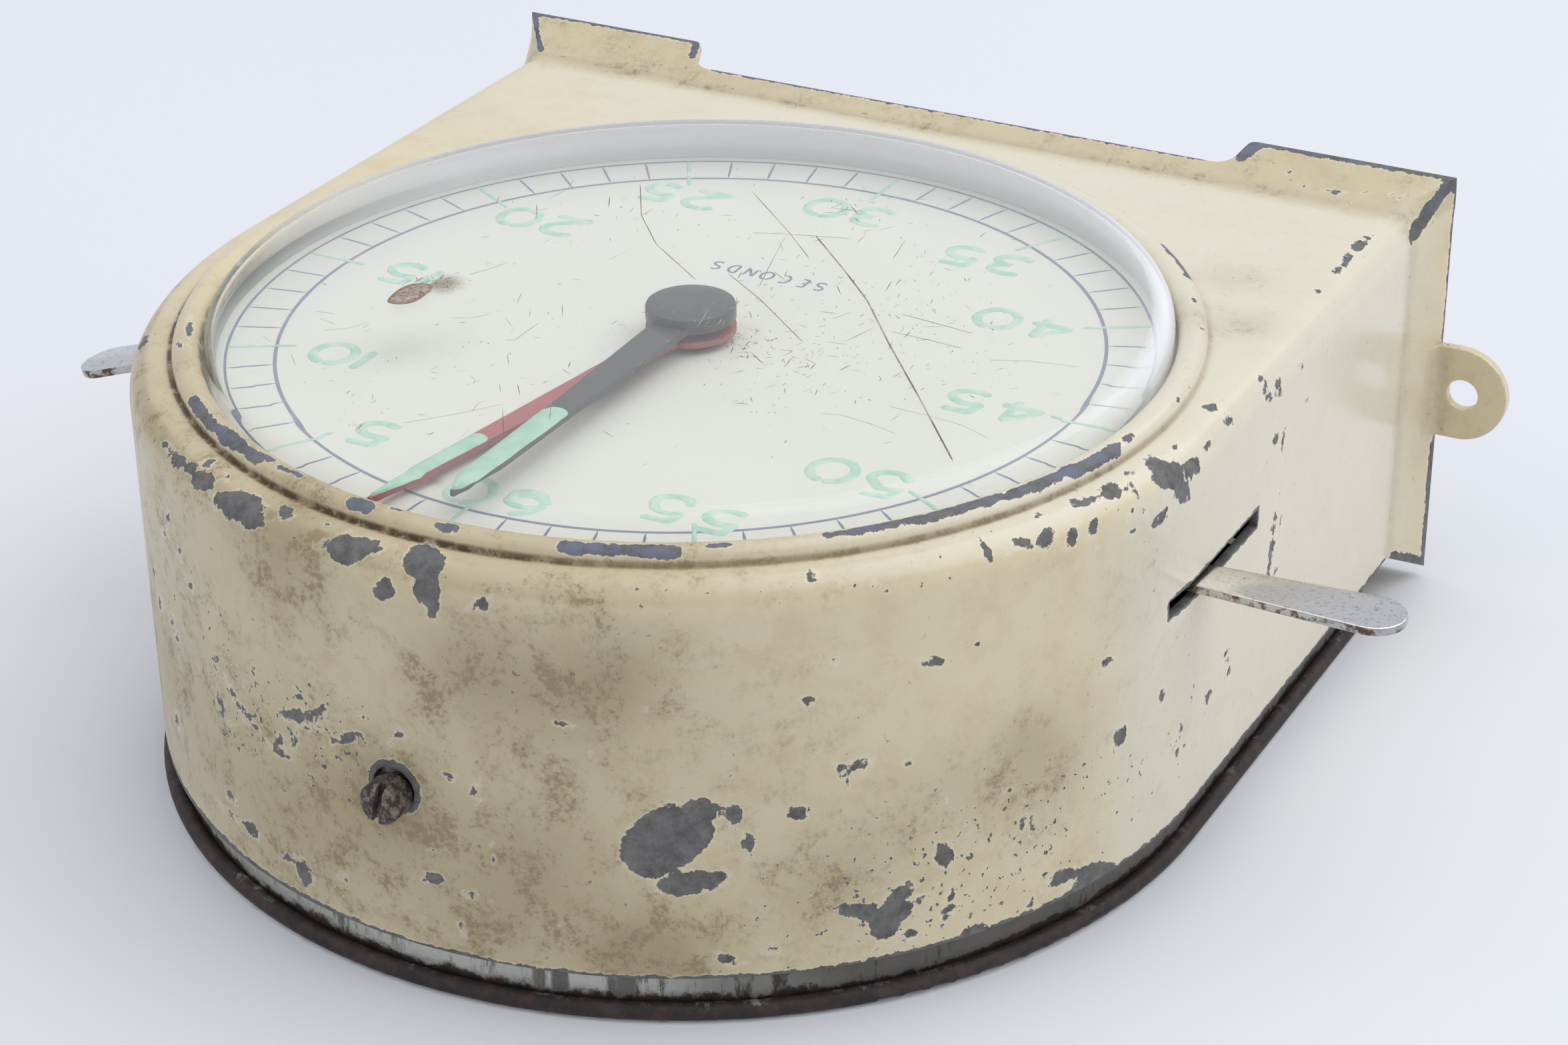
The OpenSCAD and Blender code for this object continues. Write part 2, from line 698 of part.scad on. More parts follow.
module seconds_pinion() color("silver") {
    at([0, 0], sec_pinion_z) rotate(transfer_dir + 180 / leaves)
        pinion(leaves, fine_m, 2.5, arbor_d / 2 + seat_gap);
}

// Heart cam: radius grows evenly on both sides from its low point at +Y
module heart_shape() {
    polygon([for (i = [-18 : 17]) polar(heart_low + (heart_r - heart_low) * abs(i) / 18,
        90 + i * 10)]);
}

module seconds_heart() color("silver") {
    at([0, 0], sec_heart_z) difference() {
        linear_extrude(heart_t) heart_shape();
        translate([0, 0, -1]) cylinder(r = arbor_d / 2 + seat_gap, h = 5);
    }
}

// Tapered hand that points to the 60 mark, and its painted part
module hand_2d(w0, w1, r1, tip, len) {
    polygon([[-w0 / 2, -4], [w0 / 2, -4], [w1 / 2, -r1], [w1 / 2 - 0.15, -tip], [0.25, -len],
        [-0.25, -len], [-w1 / 2 + 0.15, -tip], [-w1 / 2, -r1]]);
}

module seconds_hand() color("darkslategray") {
    at([0, 0], sec_hand_z) difference() {
        union() {
            linear_extrude(hand_t) hand_2d(5.4, 3.6, sec_len - sec_lume - 0.6,
                sec_len - hand_tip - 0.1, sec_len);
            cylinder(d = boss_d, h = hand_t);
        }
        translate([0, 0, -1]) cylinder(r = arbor_d / 2 + seat_gap, h = 4);
    }
}

module seconds_lume() color("aquamarine") {
    at([0, 0], sec_hand_z + hand_t) linear_extrude(lume_t) intersection() {
        hand_2d(5, 3.2, sec_len - sec_lume - 0.6, sec_len - hand_tip - 0.5, sec_len - 0.7);
        translate([-5, -sec_len]) square([10, sec_lume]);
    }
}

module hand_cap() color("darkslategray") {
    at([0, 0], sec_hand_z + hand_t) difference() {
        rotate_extrude() polygon([[0, 0.9], [0, 1.5], [3.2, 1.42], [5, 1.1], [boss_d / 2, 0.55],
            [boss_d / 2, 0], [1.4, 0], [1.4, 0.9]]);
    }
}

// Minutes line

module minutes_pipe() color("goldenrod") {
    at([0, 0], pipe_z0) ring(arbor_d / 2 + run_gap, pipe_or, min_hand_z + hand_t + 0.3 - pipe_z0);
    at([0, 0], plate_top + 1.3) ring(pipe_or - e, pipe_or + 1.2, 0.8);
}

module minutes_heart() color("silver") {
    at([0, 0], min_heart_z) difference() {
        linear_extrude(heart_t) heart_shape();
        translate([0, 0, -1]) cylinder(r = pipe_or + seat_gap, h = 5);
    }
}

module minutes_wheel() color("goldenrod") {
    at([0, 0], minute_wheel_z) rotate(transfer_dir) wheel(minute_teeth, minute_m, 2,
        pipe_or + seat_gap, 5, 4.6);
}

module minutes_hand() color("firebrick") {
    at([0, 0], min_hand_z) rotate(-min_angle) difference() {
        union() {
            linear_extrude(hand_t) hand_2d(4.4, 2.9, min_len - min_lume - 1.8,
                min_len - hand_tip + 0.1, min_len);
            cylinder(d = boss_d, h = hand_t);
        }
        translate([0, 0, -1]) cylinder(r = pipe_or + seat_gap, h = 4);
    }
}

module minutes_lume() color("aquamarine") {
    at([0, 0], min_hand_z + hand_t) rotate(-min_angle) linear_extrude(lume_t) intersection() {
        hand_2d(4, 2.5, min_len - min_lume - 1.8, min_len - hand_tip - 0.3, min_len - 0.6);
        translate([-5, -min_len]) square([10, min_lume]);
    }
}

// Transfer, middle and first arbors

module transfer_arbor() color("silver") {
    at(transfer_p, 0) arbor(arbor_d, back_top + 0.2, front_plate_z - 0.2, 0.75,
        plate_t + 0.2, plate_t + 0.2);
}

module transfer_wheel() color("goldenrod") {
    at(transfer_p, sec_pinion_z) rotate(transfer_dir + 180)
        wheel(fine_teeth, fine_m, 2, arbor_d / 2 + seat_gap);
}

module transfer_pinion() color("silver") {
    at(transfer_p, minute_wheel_z - 0.2) rotate(transfer_dir + 180 + 180 / leaves)
        pinion(leaves, minute_m, 2.4, arbor_d / 2 + seat_gap);
}

module middle_arbor() color("silver") {
    at(mid_p, 0) arbor(arbor_d, back_top + 0.2, front_plate_z - 0.2, 0.75,
        plate_t + 0.2, plate_t + 0.2);
}

module middle_pinion() color("silver") {
    at(mid_p, drive_z - 0.3) rotate(mid_dir + 180 + 180 / leaves)
        pinion(leaves, drive_m, wheel_t + 0.6, arbor_d / 2 + seat_gap);
}

module middle_wheel() color("goldenrod") {
    at(mid_p, mid_wheel_z) rotate(first_dir)
        wheel(drive_teeth, drive_m, wheel_t, arbor_d / 2 + seat_gap);
}

module first_arbor() color("silver") {
    at(first_p, 0) arbor(arbor_d, back_top + 0.2, front_plate_z - 0.2, 0.75,
        plate_t + 0.2, plate_t + 0.2);
}

module first_pinion() color("silver") {
    at(first_p, mid_wheel_z - 0.3) rotate(first_dir + 180 + 180 / leaves)
        pinion(leaves, drive_m, wheel_t + 0.6, arbor_d / 2 + seat_gap);
}

module first_wheel() color("goldenrod") {
    at(first_p, first_wheel_z) rotate(rotor_dir)
        wheel(fine_teeth, fine_m, wheel_t, arbor_d / 2 + seat_gap);
}

// Motor

module rotor_arbor() color("silver") {
    at(rotor_p, 0) {
        translate([0, 0, motor_z + can_t + 0.1])
            cylinder(d = rotor_arbor_d, h = front_plate_z - motor_z - can_t - 0.3);
        translate([0, 0, front_plate_z - 0.3]) cylinder(r = 0.55, h = plate_t);
    }
}

module rotor_magnet() color("dimgray") {
    at(rotor_p, motor_z + 3) ring(rotor_arbor_d / 2 + seat_gap, magnet_r, can_h - 5);
}

module rotor_pinion() color("silver") {
    at(rotor_p, first_wheel_z - 0.3) rotate(rotor_dir + 180 + 180 / leaves)
        pinion(leaves, fine_m, wheel_t + 0.6, rotor_arbor_d / 2 + seat_gap);
}

module motor_can() color("silver") {
    at(rotor_p, motor_z) difference() {
        cylinder(r = can_r, h = can_h);
        translate([0, 0, can_t]) cylinder(r = can_r - can_t, h = can_h);
    }
}

module coil_bobbin() color("tan") {
    r0 = magnet_r + 0.6;
    at(rotor_p, motor_z + can_t) {
        ring(r0, r0 + 1, can_h - can_t - 0.2);
        for (z = [0, can_h - can_t - 1]) translate([0, 0, z]) ring(r0, can_r - can_t - 0.3, 0.8);
    }
}

module coil_winding() color("sienna") {
    r0 = magnet_r + 1.6;
    at(rotor_p, motor_z + can_t + 0.8) ring(r0 + 0.05, can_r - can_t - 1, can_h - can_t - 1.8);
}

module stator_plate() color("silver") {
    at(rotor_p, can_top) difference() {
        cylinder(r = can_r, h = 1.5);
        translate([0, 0, -1]) cylinder(r = rotor_arbor_d / 2 + run_gap, h = 4);
        for (a = [30 : 120 : 270]) at(polar(can_r - 5, a), -1)
            cylinder(r = 1.25 + seat_gap, h = 5);
    }
}

module motor_posts() color("goldenrod") {
    for (a = [30 : 120 : 270]) at(rotor_p + polar(can_r - 5, a), can_top) {
        cylinder(r = 1.25, h = back_top - can_top);
        translate([0, 0, 1.5]) cylinder(r = 2.5, h = back_plate_z - can_top - 1.5);
        translate([0, 0, back_top - can_top]) cylinder(r = 2, h = 0.8);
    }
}

// Levers

// Tapered arm from the pivot along +X, with its round end
module arm_2d(r0, r1, w0, w1) {
    polygon([[0, -w0 * 0.55], [r0, -w0 / 2], [r1 - w1 / 2, -w1 / 2], [r1 - w1 / 2, w1 / 2],
        [r0, w0 / 2], [0, w0 * 0.55]]);
    translate([r1 - w1 / 2, 0]) circle(r = w1 / 2);
}

module start_lever() color("lightsteelblue") {
    at(start_p, lever_z - lever_t / 2) rotate(start_angle) difference() {
        linear_extrude(lever_t) {
            circle(r = 6);
            arm_2d(case_r - start_p[0], case_r - start_p[0] + start_out, lever_w0, lever_w1);
            // Short inner arm that carries the switch pin
            rotate(pin_dir) translate([0, -2]) square([pin_reach, 4]);
            rotate(pin_dir) translate([pin_reach, 0]) circle(r = 2);
        }
        translate([0, 0, -1]) cylinder(r = stud_d / 2 + run_gap, h = 4);
        rotate(pin_dir) translate([pin_reach, 0, -1]) cylinder(r = 1 + seat_gap, h = 4);
    }
}

module start_pin() color("peru") {
    at(start_p, lever_z - lever_t / 2) rotate(start_angle + pin_dir)
        translate([pin_reach, 0, 0]) {
        translate([0, 0, -0.6]) cylinder(r = 1.8, h = 0.6);
        cylinder(r = 1, h = lever_t);
        translate([0, 0, lever_t]) cylinder(r = 2.2, h = 2.6);
    }
}

// Shouldered stud that hangs from the front plate and carries a lever
module lever_stud() {
    z0 = lever_z - lever_t / 2;
    translate([0, 0, z0 - 1.2]) cylinder(d = stud_d + 3, h = 1);
    translate([0, 0, z0 - 1.2]) cylinder(d = stud_d, h = lever_t + 1.4);
    translate([0, 0, z0 + lever_t + 0.2]) cylinder(d = stud_d + 3, h = 1);
    translate([0, 0, z0 + lever_t + 0.2])
        cylinder(d = stud_d + 0.5, h = front_plate_z - z0 - lever_t - 0.2);
    translate([0, 0, front_plate_z - e]) cylinder(r = 1.5, h = plate_t + e);
    translate([0, 0, plate_top]) cylinder(r = 2.6, h = 0.8);
}

module start_stud() color("silver") {
    at(start_p, 0) lever_stud();
}

module reset_stud() color("silver") {
    at(reset_p, 0) lever_stud();
}

module reset_lever() color("lightsteelblue") {
    r_bend = case_r + reset_p[0] + 1.6;
    at(reset_p, lever_z - lever_t / 2) difference() {
        union() {
            linear_extrude(lever_t) {
                circle(r = 6);
                rotate(reset_out) polygon([[0, -lever_w0 * 0.55], [r_bend, -lever_w0 / 2],
                    [r_bend, lever_w0 / 2], [0, lever_w0 * 0.55]]);
                rotate(reset_travel) {
                    polygon([[0, -3], [28, -5.4], [28, 0.4], [0, 3]]);
                    translate([27, -3.6]) square([10, 4]);
                }
            }
            // Exposed end, bent down just outside the wall
            rotate(reset_out) translate([r_bend, 0, lever_t / 2]) {
                rotate([90, 0, 0]) translate([0, 0, -lever_w0 / 2])
                    cylinder(d = lever_t, h = lever_w0, $fn = 24);
                rotate(reset_out2 - reset_out) rotate([0, reset_bend, 0])
                    translate([0, 0, -lever_t / 2]) linear_extrude(lever_t)
                    arm_2d(1, reset_len, lever_w0, lever_w1);
            }
        }
        translate([0, 0, -1]) cylinder(r = stud_d / 2 + run_gap, h = 4);
        // Rivet holes for the hammer and the spring's hole
        rotate(reset_travel) translate([32, -1.6, -1]) cylinder(r = 1.2 + seat_gap, h = 4);
        rotate(200) translate([10, 0, -1]) cylinder(r = 0.5, h = 4);
    }
}

// Hammer under and over the lever, drawn where it meets both hearts and then swung to rest
module reset_hammer() color("silver") {
    z0 = sec_heart_z - 0.2;
    zl = lever_z - lever_t / 2;
    h = min_heart_z + heart_t + 0.3 - z0;
    y0 = heart_low + 0.45 - reset_p[1];
    at(reset_p, 0) rotate(reset_travel) {
        translate([27, y0, z0]) cube([10, 3.4, zl - z0]);
        translate([27, y0, zl + lever_t]) cube([10, 3.4, z0 + h - zl - lever_t]);
        translate([27, y0 + 3.4 - e, z0]) cube([10, 3, zl - z0]);
        translate([32, -1.6, zl - e]) cylinder(r = 1.2, h = lever_t + 2 * e);
        translate([27, y0 + 3.4 - e, zl + lever_t]) cube([10, 3, 1.2]);
    }
}

module reset_spring() color("silver") {
    z = lever_z + lever_t / 2 + 1.6;
    at(reset_p, z) {
        ring(stud_d / 2 + 0.55, stud_d / 2 + 1.35, 2.4);
        rotate(74) translate([stud_d / 2 + 0.9, -0.4, 1.6]) cube([13, 0.8, 0.8]);
    }
}

// Switch and terminals

module switch_block() color("saddlebrown") {
    difference() {
        at(switch_p, lever_z - 3.7) cube([6, 8, front_plate_z - lever_z + 3.7]);
        for (x = [1.6, 4]) at(switch_p + [x, -6], lever_z - 2.7) cube([0.4, 20, 5]);
    }
    for (y = [2, 6]) at(switch_p + [3, y], front_plate_z - e) cylinder(r = 1, h = plate_t + e);
}

module switch_blades() color("gold") {
    // Each blade's place, and that of the contact on the side that faces the other blade
    for (x = [[1.6, 2], [4, 3.6]]) {
        at(switch_p + [x[0], -18], lever_z - 2.7) cube([0.4, 27, 5]);
        at(switch_p + [x[1], -15.5], lever_z) rotate([0, 90, 0]) cylinder(r = 1, h = 0.4);
    }
}

module terminal_block() color("saddlebrown") {
    at(terminal_p, back_plate_z - 9) difference() {
        cube([28, 10, 9]);
        for (i = [0 : 2]) translate([5 + 9 * i, 5, -1]) cylinder(r = 1.5 + seat_gap, h = 6);
    }
    for (s = [-1, 1]) at(terminal_p + [14 + 8 * s, 5], back_plate_z - e)
        cylinder(r = 1.5, h = plate_t + e);
}

module terminal_screws() color("goldenrod") {
    for (i = [0 : 2]) at(terminal_p + [5 + 9 * i, 5], back_plate_z - 9) {
        cylinder(r = 1.5, h = 4.5);
        translate([0, 0, -2]) difference() {
            cylinder(r = 3, h = 2);
            translate([-4, -0.4, -1]) cube([8, 0.8, 1.8]);
        }
    }
}

case_shell();
foot_plate();
back_cover();
cover_lug();
lug_rivets();
case_screw();
cord_grommet();
crystal();
dial_plate();
dial_feet();
wall_brackets();
bracket_screws();
front_plate();
back_plate();
pillars();
pillar_screws();
hand_bush();
seconds_arbor();
drive_wheel();
clutch_spring();
clutch_collar();
seconds_pinion();
seconds_heart();
seconds_hand();
seconds_lume();
hand_cap();
minutes_pipe();
minutes_heart();
minutes_wheel();
minutes_hand();
minutes_lume();
transfer_arbor();
transfer_wheel();
transfer_pinion();
first_arbor();
first_wheel();
first_pinion();
middle_arbor();
middle_wheel();
middle_pinion();
rotor_arbor();
rotor_magnet();
rotor_pinion();
motor_can();
coil_bobbin();
coil_winding();
stator_plate();
motor_posts();
start_lever();
start_pin();
start_stud();
reset_lever();
reset_hammer();
reset_stud();
reset_spring();
switch_block();
switch_blades();
terminal_block();
terminal_screws();
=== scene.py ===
# Wall and bench timer for a darkroom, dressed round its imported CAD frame.
# The row frame: +Z is the dial's outward normal, the 60 mark points to -Y, the flared foot to +Y.
# Shapes are worked out in millimetres and written to the meshes in metres.
import math

import bmesh
import bpy
import numpy as np
from mathutils import Matrix


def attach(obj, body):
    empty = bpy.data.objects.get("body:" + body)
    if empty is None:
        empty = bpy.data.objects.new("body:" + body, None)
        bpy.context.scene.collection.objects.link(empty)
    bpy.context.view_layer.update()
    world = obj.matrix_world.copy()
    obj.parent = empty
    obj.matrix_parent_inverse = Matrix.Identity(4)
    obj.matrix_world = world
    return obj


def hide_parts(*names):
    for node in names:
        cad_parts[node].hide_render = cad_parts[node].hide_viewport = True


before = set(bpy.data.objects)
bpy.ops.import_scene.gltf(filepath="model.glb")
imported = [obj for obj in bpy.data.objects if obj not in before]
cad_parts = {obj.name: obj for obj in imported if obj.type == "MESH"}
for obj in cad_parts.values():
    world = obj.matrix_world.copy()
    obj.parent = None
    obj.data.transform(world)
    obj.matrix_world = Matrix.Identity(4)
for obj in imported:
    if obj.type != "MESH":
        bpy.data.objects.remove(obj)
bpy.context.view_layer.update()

# The table and its light. A pale matt sheet carries the timer, and a soft lamp from the right and
# behind leaves the near wall in its own shade.
lamp_aim = (0, 0, 0.03)
sheet_half = 3.0


def wire(socket, value):
    """Links a socket to another node's output, or gives it a plain value. A colour comes without
    its alpha."""
    if isinstance(value, bpy.types.NodeSocket):
        socket.id_data.links.new(value, socket)
    elif socket.type == "RGBA":
        socket.default_value = (*value, 1)
    else:
        socket.default_value = value


def node(tree, kind, inputs=None, **settings):
    """One shader node with its settings, and its inputs linked or set by name or number."""
    made = tree.nodes.new("ShaderNode" + kind)
    for key, value in settings.items():
        setattr(made, key, value)
    for key, value in (inputs or {}).items():
        wire(made.inputs[key], value)
    return made


def give(shader, **values):
    """Links or sets a shader's inputs; an underscore stands for the space in an input's name."""
    for key, value in values.items():
        wire(shader.inputs[key.replace("_", " ")], value)


def new_finish(name, roughness=0.5, metallic=0.0):
    """A new material, its Principled shader and the Object coordinates in it."""
    made = bpy.data.materials.new(name)
    made.use_nodes = True
    shader = made.node_tree.nodes["Principled BSDF"]
    give(shader, Roughness=roughness, Metallic=metallic)
    return made, shader, node(made.node_tree, "TexCoord").outputs["Object"]


def stretched(place, by):
    """Coordinates multiplied along the three axes."""
    return node(place.id_data, "Mapping", {"Vector": place, "Scale": by}).outputs[0]


def grain(place, scale, detail=3.0, roughness=0.5, distortion=0.0):
    """Noise value, about 0.5 in the mean, with that many features in a metre."""
    return node(place.id_data, "TexNoise", {"Vector": place, "Scale": scale, "Detail": detail,
        "Roughness": roughness, "Distortion": distortion}).outputs["Fac"]


def calc(operation, first, *others):
    """Math node on another node's output and up to two more values."""
    values = dict(enumerate((first, *others)))
    return node(first.id_data, "Math", values, operation=operation).outputs[0]


def times(a, b):
    """a * b."""
    return calc("MULTIPLY", a, b)


def plus(a, b):
    """a + b."""
    return calc("ADD", a, b)


def linear(a, slope, start):
    """slope * a + start."""
    return calc("MULTIPLY_ADD", a, slope, start)


def step(value, low, high):
    """0 below low, 1 above high, and a smooth rise between; the other way round if low is more."""
    return node(value.id_data, "MapRange", {"Value": value, "From Min": low, "From Max": high},
        interpolation_type="SMOOTHSTEP").outputs[0]


def tint(share, one, other):
    """Colour one, changed to the other by a share."""
    return node(share.id_data, "Mix", {0: share, 6: one, 7: other}, data_type="RGBA").outputs[2]


def relief(shader, height, distance):
    """Bump by a height of 0 to 1 that stands for a distance in metres."""
    bump = node(shader.id_data, "Bump", {"Height": height, "Distance": distance})
    give(shader, Normal=bump.outputs[0])


def mottled(name, one, other, noise, cut=None, roughness=0.5, metallic=0.0, bump=None, depth=0.0):
    """A finish in two colours by a noise, which may be cut between two levels, and a relief by
    another noise."""
    made, shader, place = new_finish(name, roughness, metallic)
    share = grain(place, *noise)
    give(shader, Base_Color=tint(step(share, *cut) if cut else share, one, other))
    if bump:
        relief(shader, grain(place, *bump), depth)
    return made


def unit(vectors):
    """The same directions, one long."""
    return vectors / np.maximum(np.linalg.norm(vectors, axis=-1, keepdims=True), 1e-9)


def turn(azimuth, elevation, roll):
    """Matrix columns right, up and back of a camera that looks at the timer from that azimuth
    (from -Y towards +X) and elevation; right is level before the roll."""
    az, el, ro = np.radians([azimuth, elevation, roll])
    back = np.array([np.sin(az) * np.cos(el), -np.cos(az) * np.cos(el), np.sin(el)])
    right = unit(np.cross([0, 0, 1], back))
    up = np.cross(back, right)
    return np.stack([np.cos(ro) * right + np.sin(ro) * up, np.cos(ro) * up - np.sin(ro) * right,
        back], 1)


def put(name, data):
    """A new object in the scene."""
    made = bpy.data.objects.new(name, data)
    bpy.context.scene.collection.objects.link(made)
    return made


def stand(name, data, place, axes):
    """A lamp or camera at a place, with its axes as matrix columns."""
    made = put(name, data)
    whole = np.eye(4)
    whole[:3, :3] = axes
    whole[:3, 3] = place
    made.matrix_world = Matrix(whole.tolist())
    return made


def soft_lamp(name, place, size, watts, colour):
    """Square lamp that faces the timer."""
    data = bpy.data.lights.new(name, "AREA")
    data.shape = "SQUARE"
    data.size = size
    data.energy = watts
    data.color = colour
    back = unit(np.array(place) - lamp_aim)
    right = unit(np.cross([0, 0.01, 1], back))
    stand(name, data, place, np.stack([right, np.cross(back, right), back], 1))


lens = bpy.data.cameras.new("photo_camera")
lens.lens = 80.54
lens.sensor_width = 36.0
lens.clip_start = 0.01
camera_at = np.array([0.21647, -0.37118, 0.25812])
camera_axes = turn(28.626, 27.968, -0.678)
bpy.context.scene.camera = stand("photo_camera", lens, camera_at, camera_axes)
bpy.context.scene.view_settings.view_transform = "Standard"

soft_lamp("key_lamp", (0.75, 0.60, 1.45), 2.0, 15.5, (0.97, 0.985, 1.0))
soft_lamp("top_lamp", (-0.5, -0.3, 1.5), 1.6, 4.5, (0.96, 0.975, 1.0))

world = bpy.data.worlds.new("studio")
world.use_nodes = True
give(world.node_tree.nodes["Background"], Color=(0.872, 0.893, 0.957), Strength=0.70)
bpy.context.scene.world = world

sheet_mesh = bpy.data.meshes.new("table_sheet")
sheet_mesh.from_pydata([(x * sheet_half, y * sheet_half, 0)
    for x, y in ((-1, -1), (1, -1), (1, 1), (-1, 1))], [], [(0, 1, 2, 3)])
sheet_mesh.materials.append(mottled("pale_sheet", (0.78, 0.79, 0.825), (0.82, 0.83, 0.86),
    (3.0, 2.0), roughness=0.55))
table_sheet = put("table_sheet", sheet_mesh)

# Case shell: one pressed box of 1.2 mm steel sheet, D-shaped, with a rounded shoulder, a raised
# ring round the dial opening and a flared foot with mitred corners. Cream stoved enamel over a
# slate primer, which shows where the paint has chipped.
case_radius = 75.0
rear_edge = 6.5
front_level = 61.0
foot_start = 76.0
foot_end = 85.1
sheet_thick = 1.2
shoulder = 4.5
top_half = case_radius - shoulder
bead_crest = 67.2
bead_wire = 2.0
throat_radius = 65.05
throat_level = 59.85
slot_span = (-9.7, 18.9)
slot_levels = (38.95, 41.45)
slot_turn = 90 - math.degrees(math.acos(-slot_span[0] / case_radius))
screw_level = 28.3
hole_radius = 3.0
hole_level = screw_level + 0.55
rim_top = 64.9
rim_rear = 1.5
low_corner = rim_top - shoulder * 1.4
corner_swell = 0.12
side_flare = 3.0
spread_start = 50.0
lip_end = 80.1
cutout_half = 46.0
cutout_fillet = 3.5
tab_round = 1.5
tab_start = cutout_half + tab_round
tuck_depth = 4.7
tuck_narrow = 0.984
mirror = np.array([-1.0, 1, 1])


def steps(start, *runs):
    """Numbers from start through each stop, with that many even steps in each run."""
    found = [np.array([float(start)])]
    for count, stop in runs:
        found.append(np.linspace(found[-1][-1], stop, count + 1)[1:])
    return np.concatenate(found)


def joined(*axes):
    """Points from their coordinates, given as arrays or numbers that fit one another."""
    return np.stack(np.broadcast_arrays(*axes), -1).astype(float)


def raised(flat, level):
    """Flat points, put at one level or at a level each."""
    return joined(flat[..., 0], flat[..., 1], level)


def blend(one, other, share):
    """Points at a share of the way from one line of points to the other."""
    return one * (1 - share) + other * share


def shares(count):
    """Even shares from 0 to 1, one for each row of a grid of points."""
    return np.linspace(0, 1, count)[:, None, None]


def beyond(values, span):
    """How far values lie outside a span, negative inside it."""
    return np.abs(values - np.mean(span)) - np.ptp(span) / 2


def sweep(radii, levels, way, base=0.0):
    """A profile of radii and levels, carried round the columns."""
    return raised(base + radii[:, None, None] * way, levels[:, None])


def lattice(rows, cols, closed=False):
    """Quads over a grid of points that are numbered row by row. Closed joins the last column to
    the first. A quad goes along the row, then to the next row."""
    i, j = np.meshgrid(np.arange(rows - 1), np.arange(cols if closed else cols - 1),
        indexing="ij")
    k = (j + 1) % cols
    return np.stack([i * cols + j, i * cols + k, (i + 1) * cols + k, (i + 1) * cols + j],
        -1).reshape(-1, 4)


def skin(grid, closed=False):
    """A grid of points and its quads."""
    return grid, lattice(*grid.shape[:2], closed)


def read(items, key):
    """One vector for each item of a mesh."""
    found = np.zeros(len(items) * 3)
    items.foreach_get(key, found)
    return found.reshape(-1, 3)


def move_points(mesh, points):
    """Puts a mesh's vertices at other places, in metres."""
    mesh.vertices.foreach_set("co", points.ravel())
    mesh.update()


def settle(made, finish, body, edge, segments=2, angle=50.0, crease=32.0):
    """Rounds a piece's edges sharper than angle by edge, applies its modifiers and shades it smooth
    except at edges sharper than crease. Then it gets its finish and body."""
    if edge:
        soft = made.modifiers.new("edge", "BEVEL")
        soft.width = edge / 1000
        soft.segments = segments
        soft.limit_method = "ANGLE"
        soft.angle_limit = math.radians(angle)
    if made.modifiers:
        bpy.context.view_layer.update()
        done = bpy.data.meshes.new_from_object(
            made.evaluated_get(bpy.context.evaluated_depsgraph_get()))
        made.modifiers.clear()
        made.data = done
        done.name = made.name
    made.data.polygons.foreach_set("use_smooth", np.ones(len(made.data.polygons), bool))
    made.data.set_sharp_from_angle(angle=math.radians(crease))
    made.data.update()
    made.data.materials.append(finish)
    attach(made, body)
    return made


def surface(name, parts, body, finish, wall=0.0, edge=0.0, shades=None, crease=32.0):
    """One piece from parts, each a grid of points (rows, columns, 3) in mm and its quads. The
    parts are joined where their points meet. shades gives named values for points and normals.
    wall thickens the sheet inwards, and edge rounds its sharp edges."""
    points, quads, first = [], [], 0
    for grid, faces in parts:
        points.append(grid.reshape(-1, 3))
        quads.append(faces + first)
        first += len(points[-1])
    mesh = bpy.data.meshes.new(name)
    mesh.from_pydata((np.concatenate(points) / 1000).tolist(), [],
        np.concatenate(quads).tolist())
    work = bmesh.new()
    work.from_mesh(mesh)
    bmesh.ops.remove_doubles(work, verts=work.verts, dist=2e-6)
    bmesh.ops.dissolve_degenerate(work, edges=work.edges, dist=1e-7)
    work.to_mesh(mesh)
    work.free()
    made = put(name, mesh)
    if shades:
        found = shades(read(mesh.vertices, "co") * 1000, read(mesh.vertex_normals, "vector"))
        for key, values in found.items():
            mesh.attributes.new(key, "FLOAT", "POINT").data.foreach_set("value",
                values.astype(np.float32))
    if wall:
        solid = made.modifiers.new("wall", "SOLIDIFY")
        solid.thickness = wall / 1000
        solid.offset = -1
        solid.use_even_offset = True
    return settle(made, finish, body, edge, crease=crease)


# Columns round the case, from the left foot end through the 60 mark to the right foot end. Each
# is a base point and a direction, so that a point at distance r is base + r * direction.
left_y = steps(foot_start, (28, slot_span[1]), (10, 0))
right_y = steps(0, (19, slot_span[1]), (50, foot_start))
arc = steps(-90, (5, slot_turn - 90), (14, -60), (187, 90 - slot_turn), (10, 90))
arc = np.radians(arc[1:-1])
column_base = np.concatenate([joined(0, left_y), joined(0, 0 * arc), joined(0, right_y)])
column_way = np.concatenate([joined(-1, 0 * left_y), joined(np.sin(arc), -np.cos(arc)),
    joined(1, 0 * right_y)])
wall_z = steps(rear_edge, (33, slot_levels[0]), (3, slot_levels[1]), (15, front_level - shoulder))
bend = np.radians(np.linspace(0, 90, 9))
bend_r = case_radius - shoulder + shoulder * np.cos(bend)
bend_z = front_level - shoulder + shoulder * np.sin(bend)
wall_grid = sweep(np.append(np.full(len(wall_z), case_radius), bend_r[1:]),
    np.append(wall_z, bend_z[1:]), column_way, column_base)
wall_quads = lattice(*wall_grid.shape[:2])
cells = wall_grid.reshape(-1, 3)[wall_quads].mean(1)
in_slot = (beyond(cells[:, 1], slot_span) < 0) & (beyond(cells[:, 2], slot_levels) < 0)
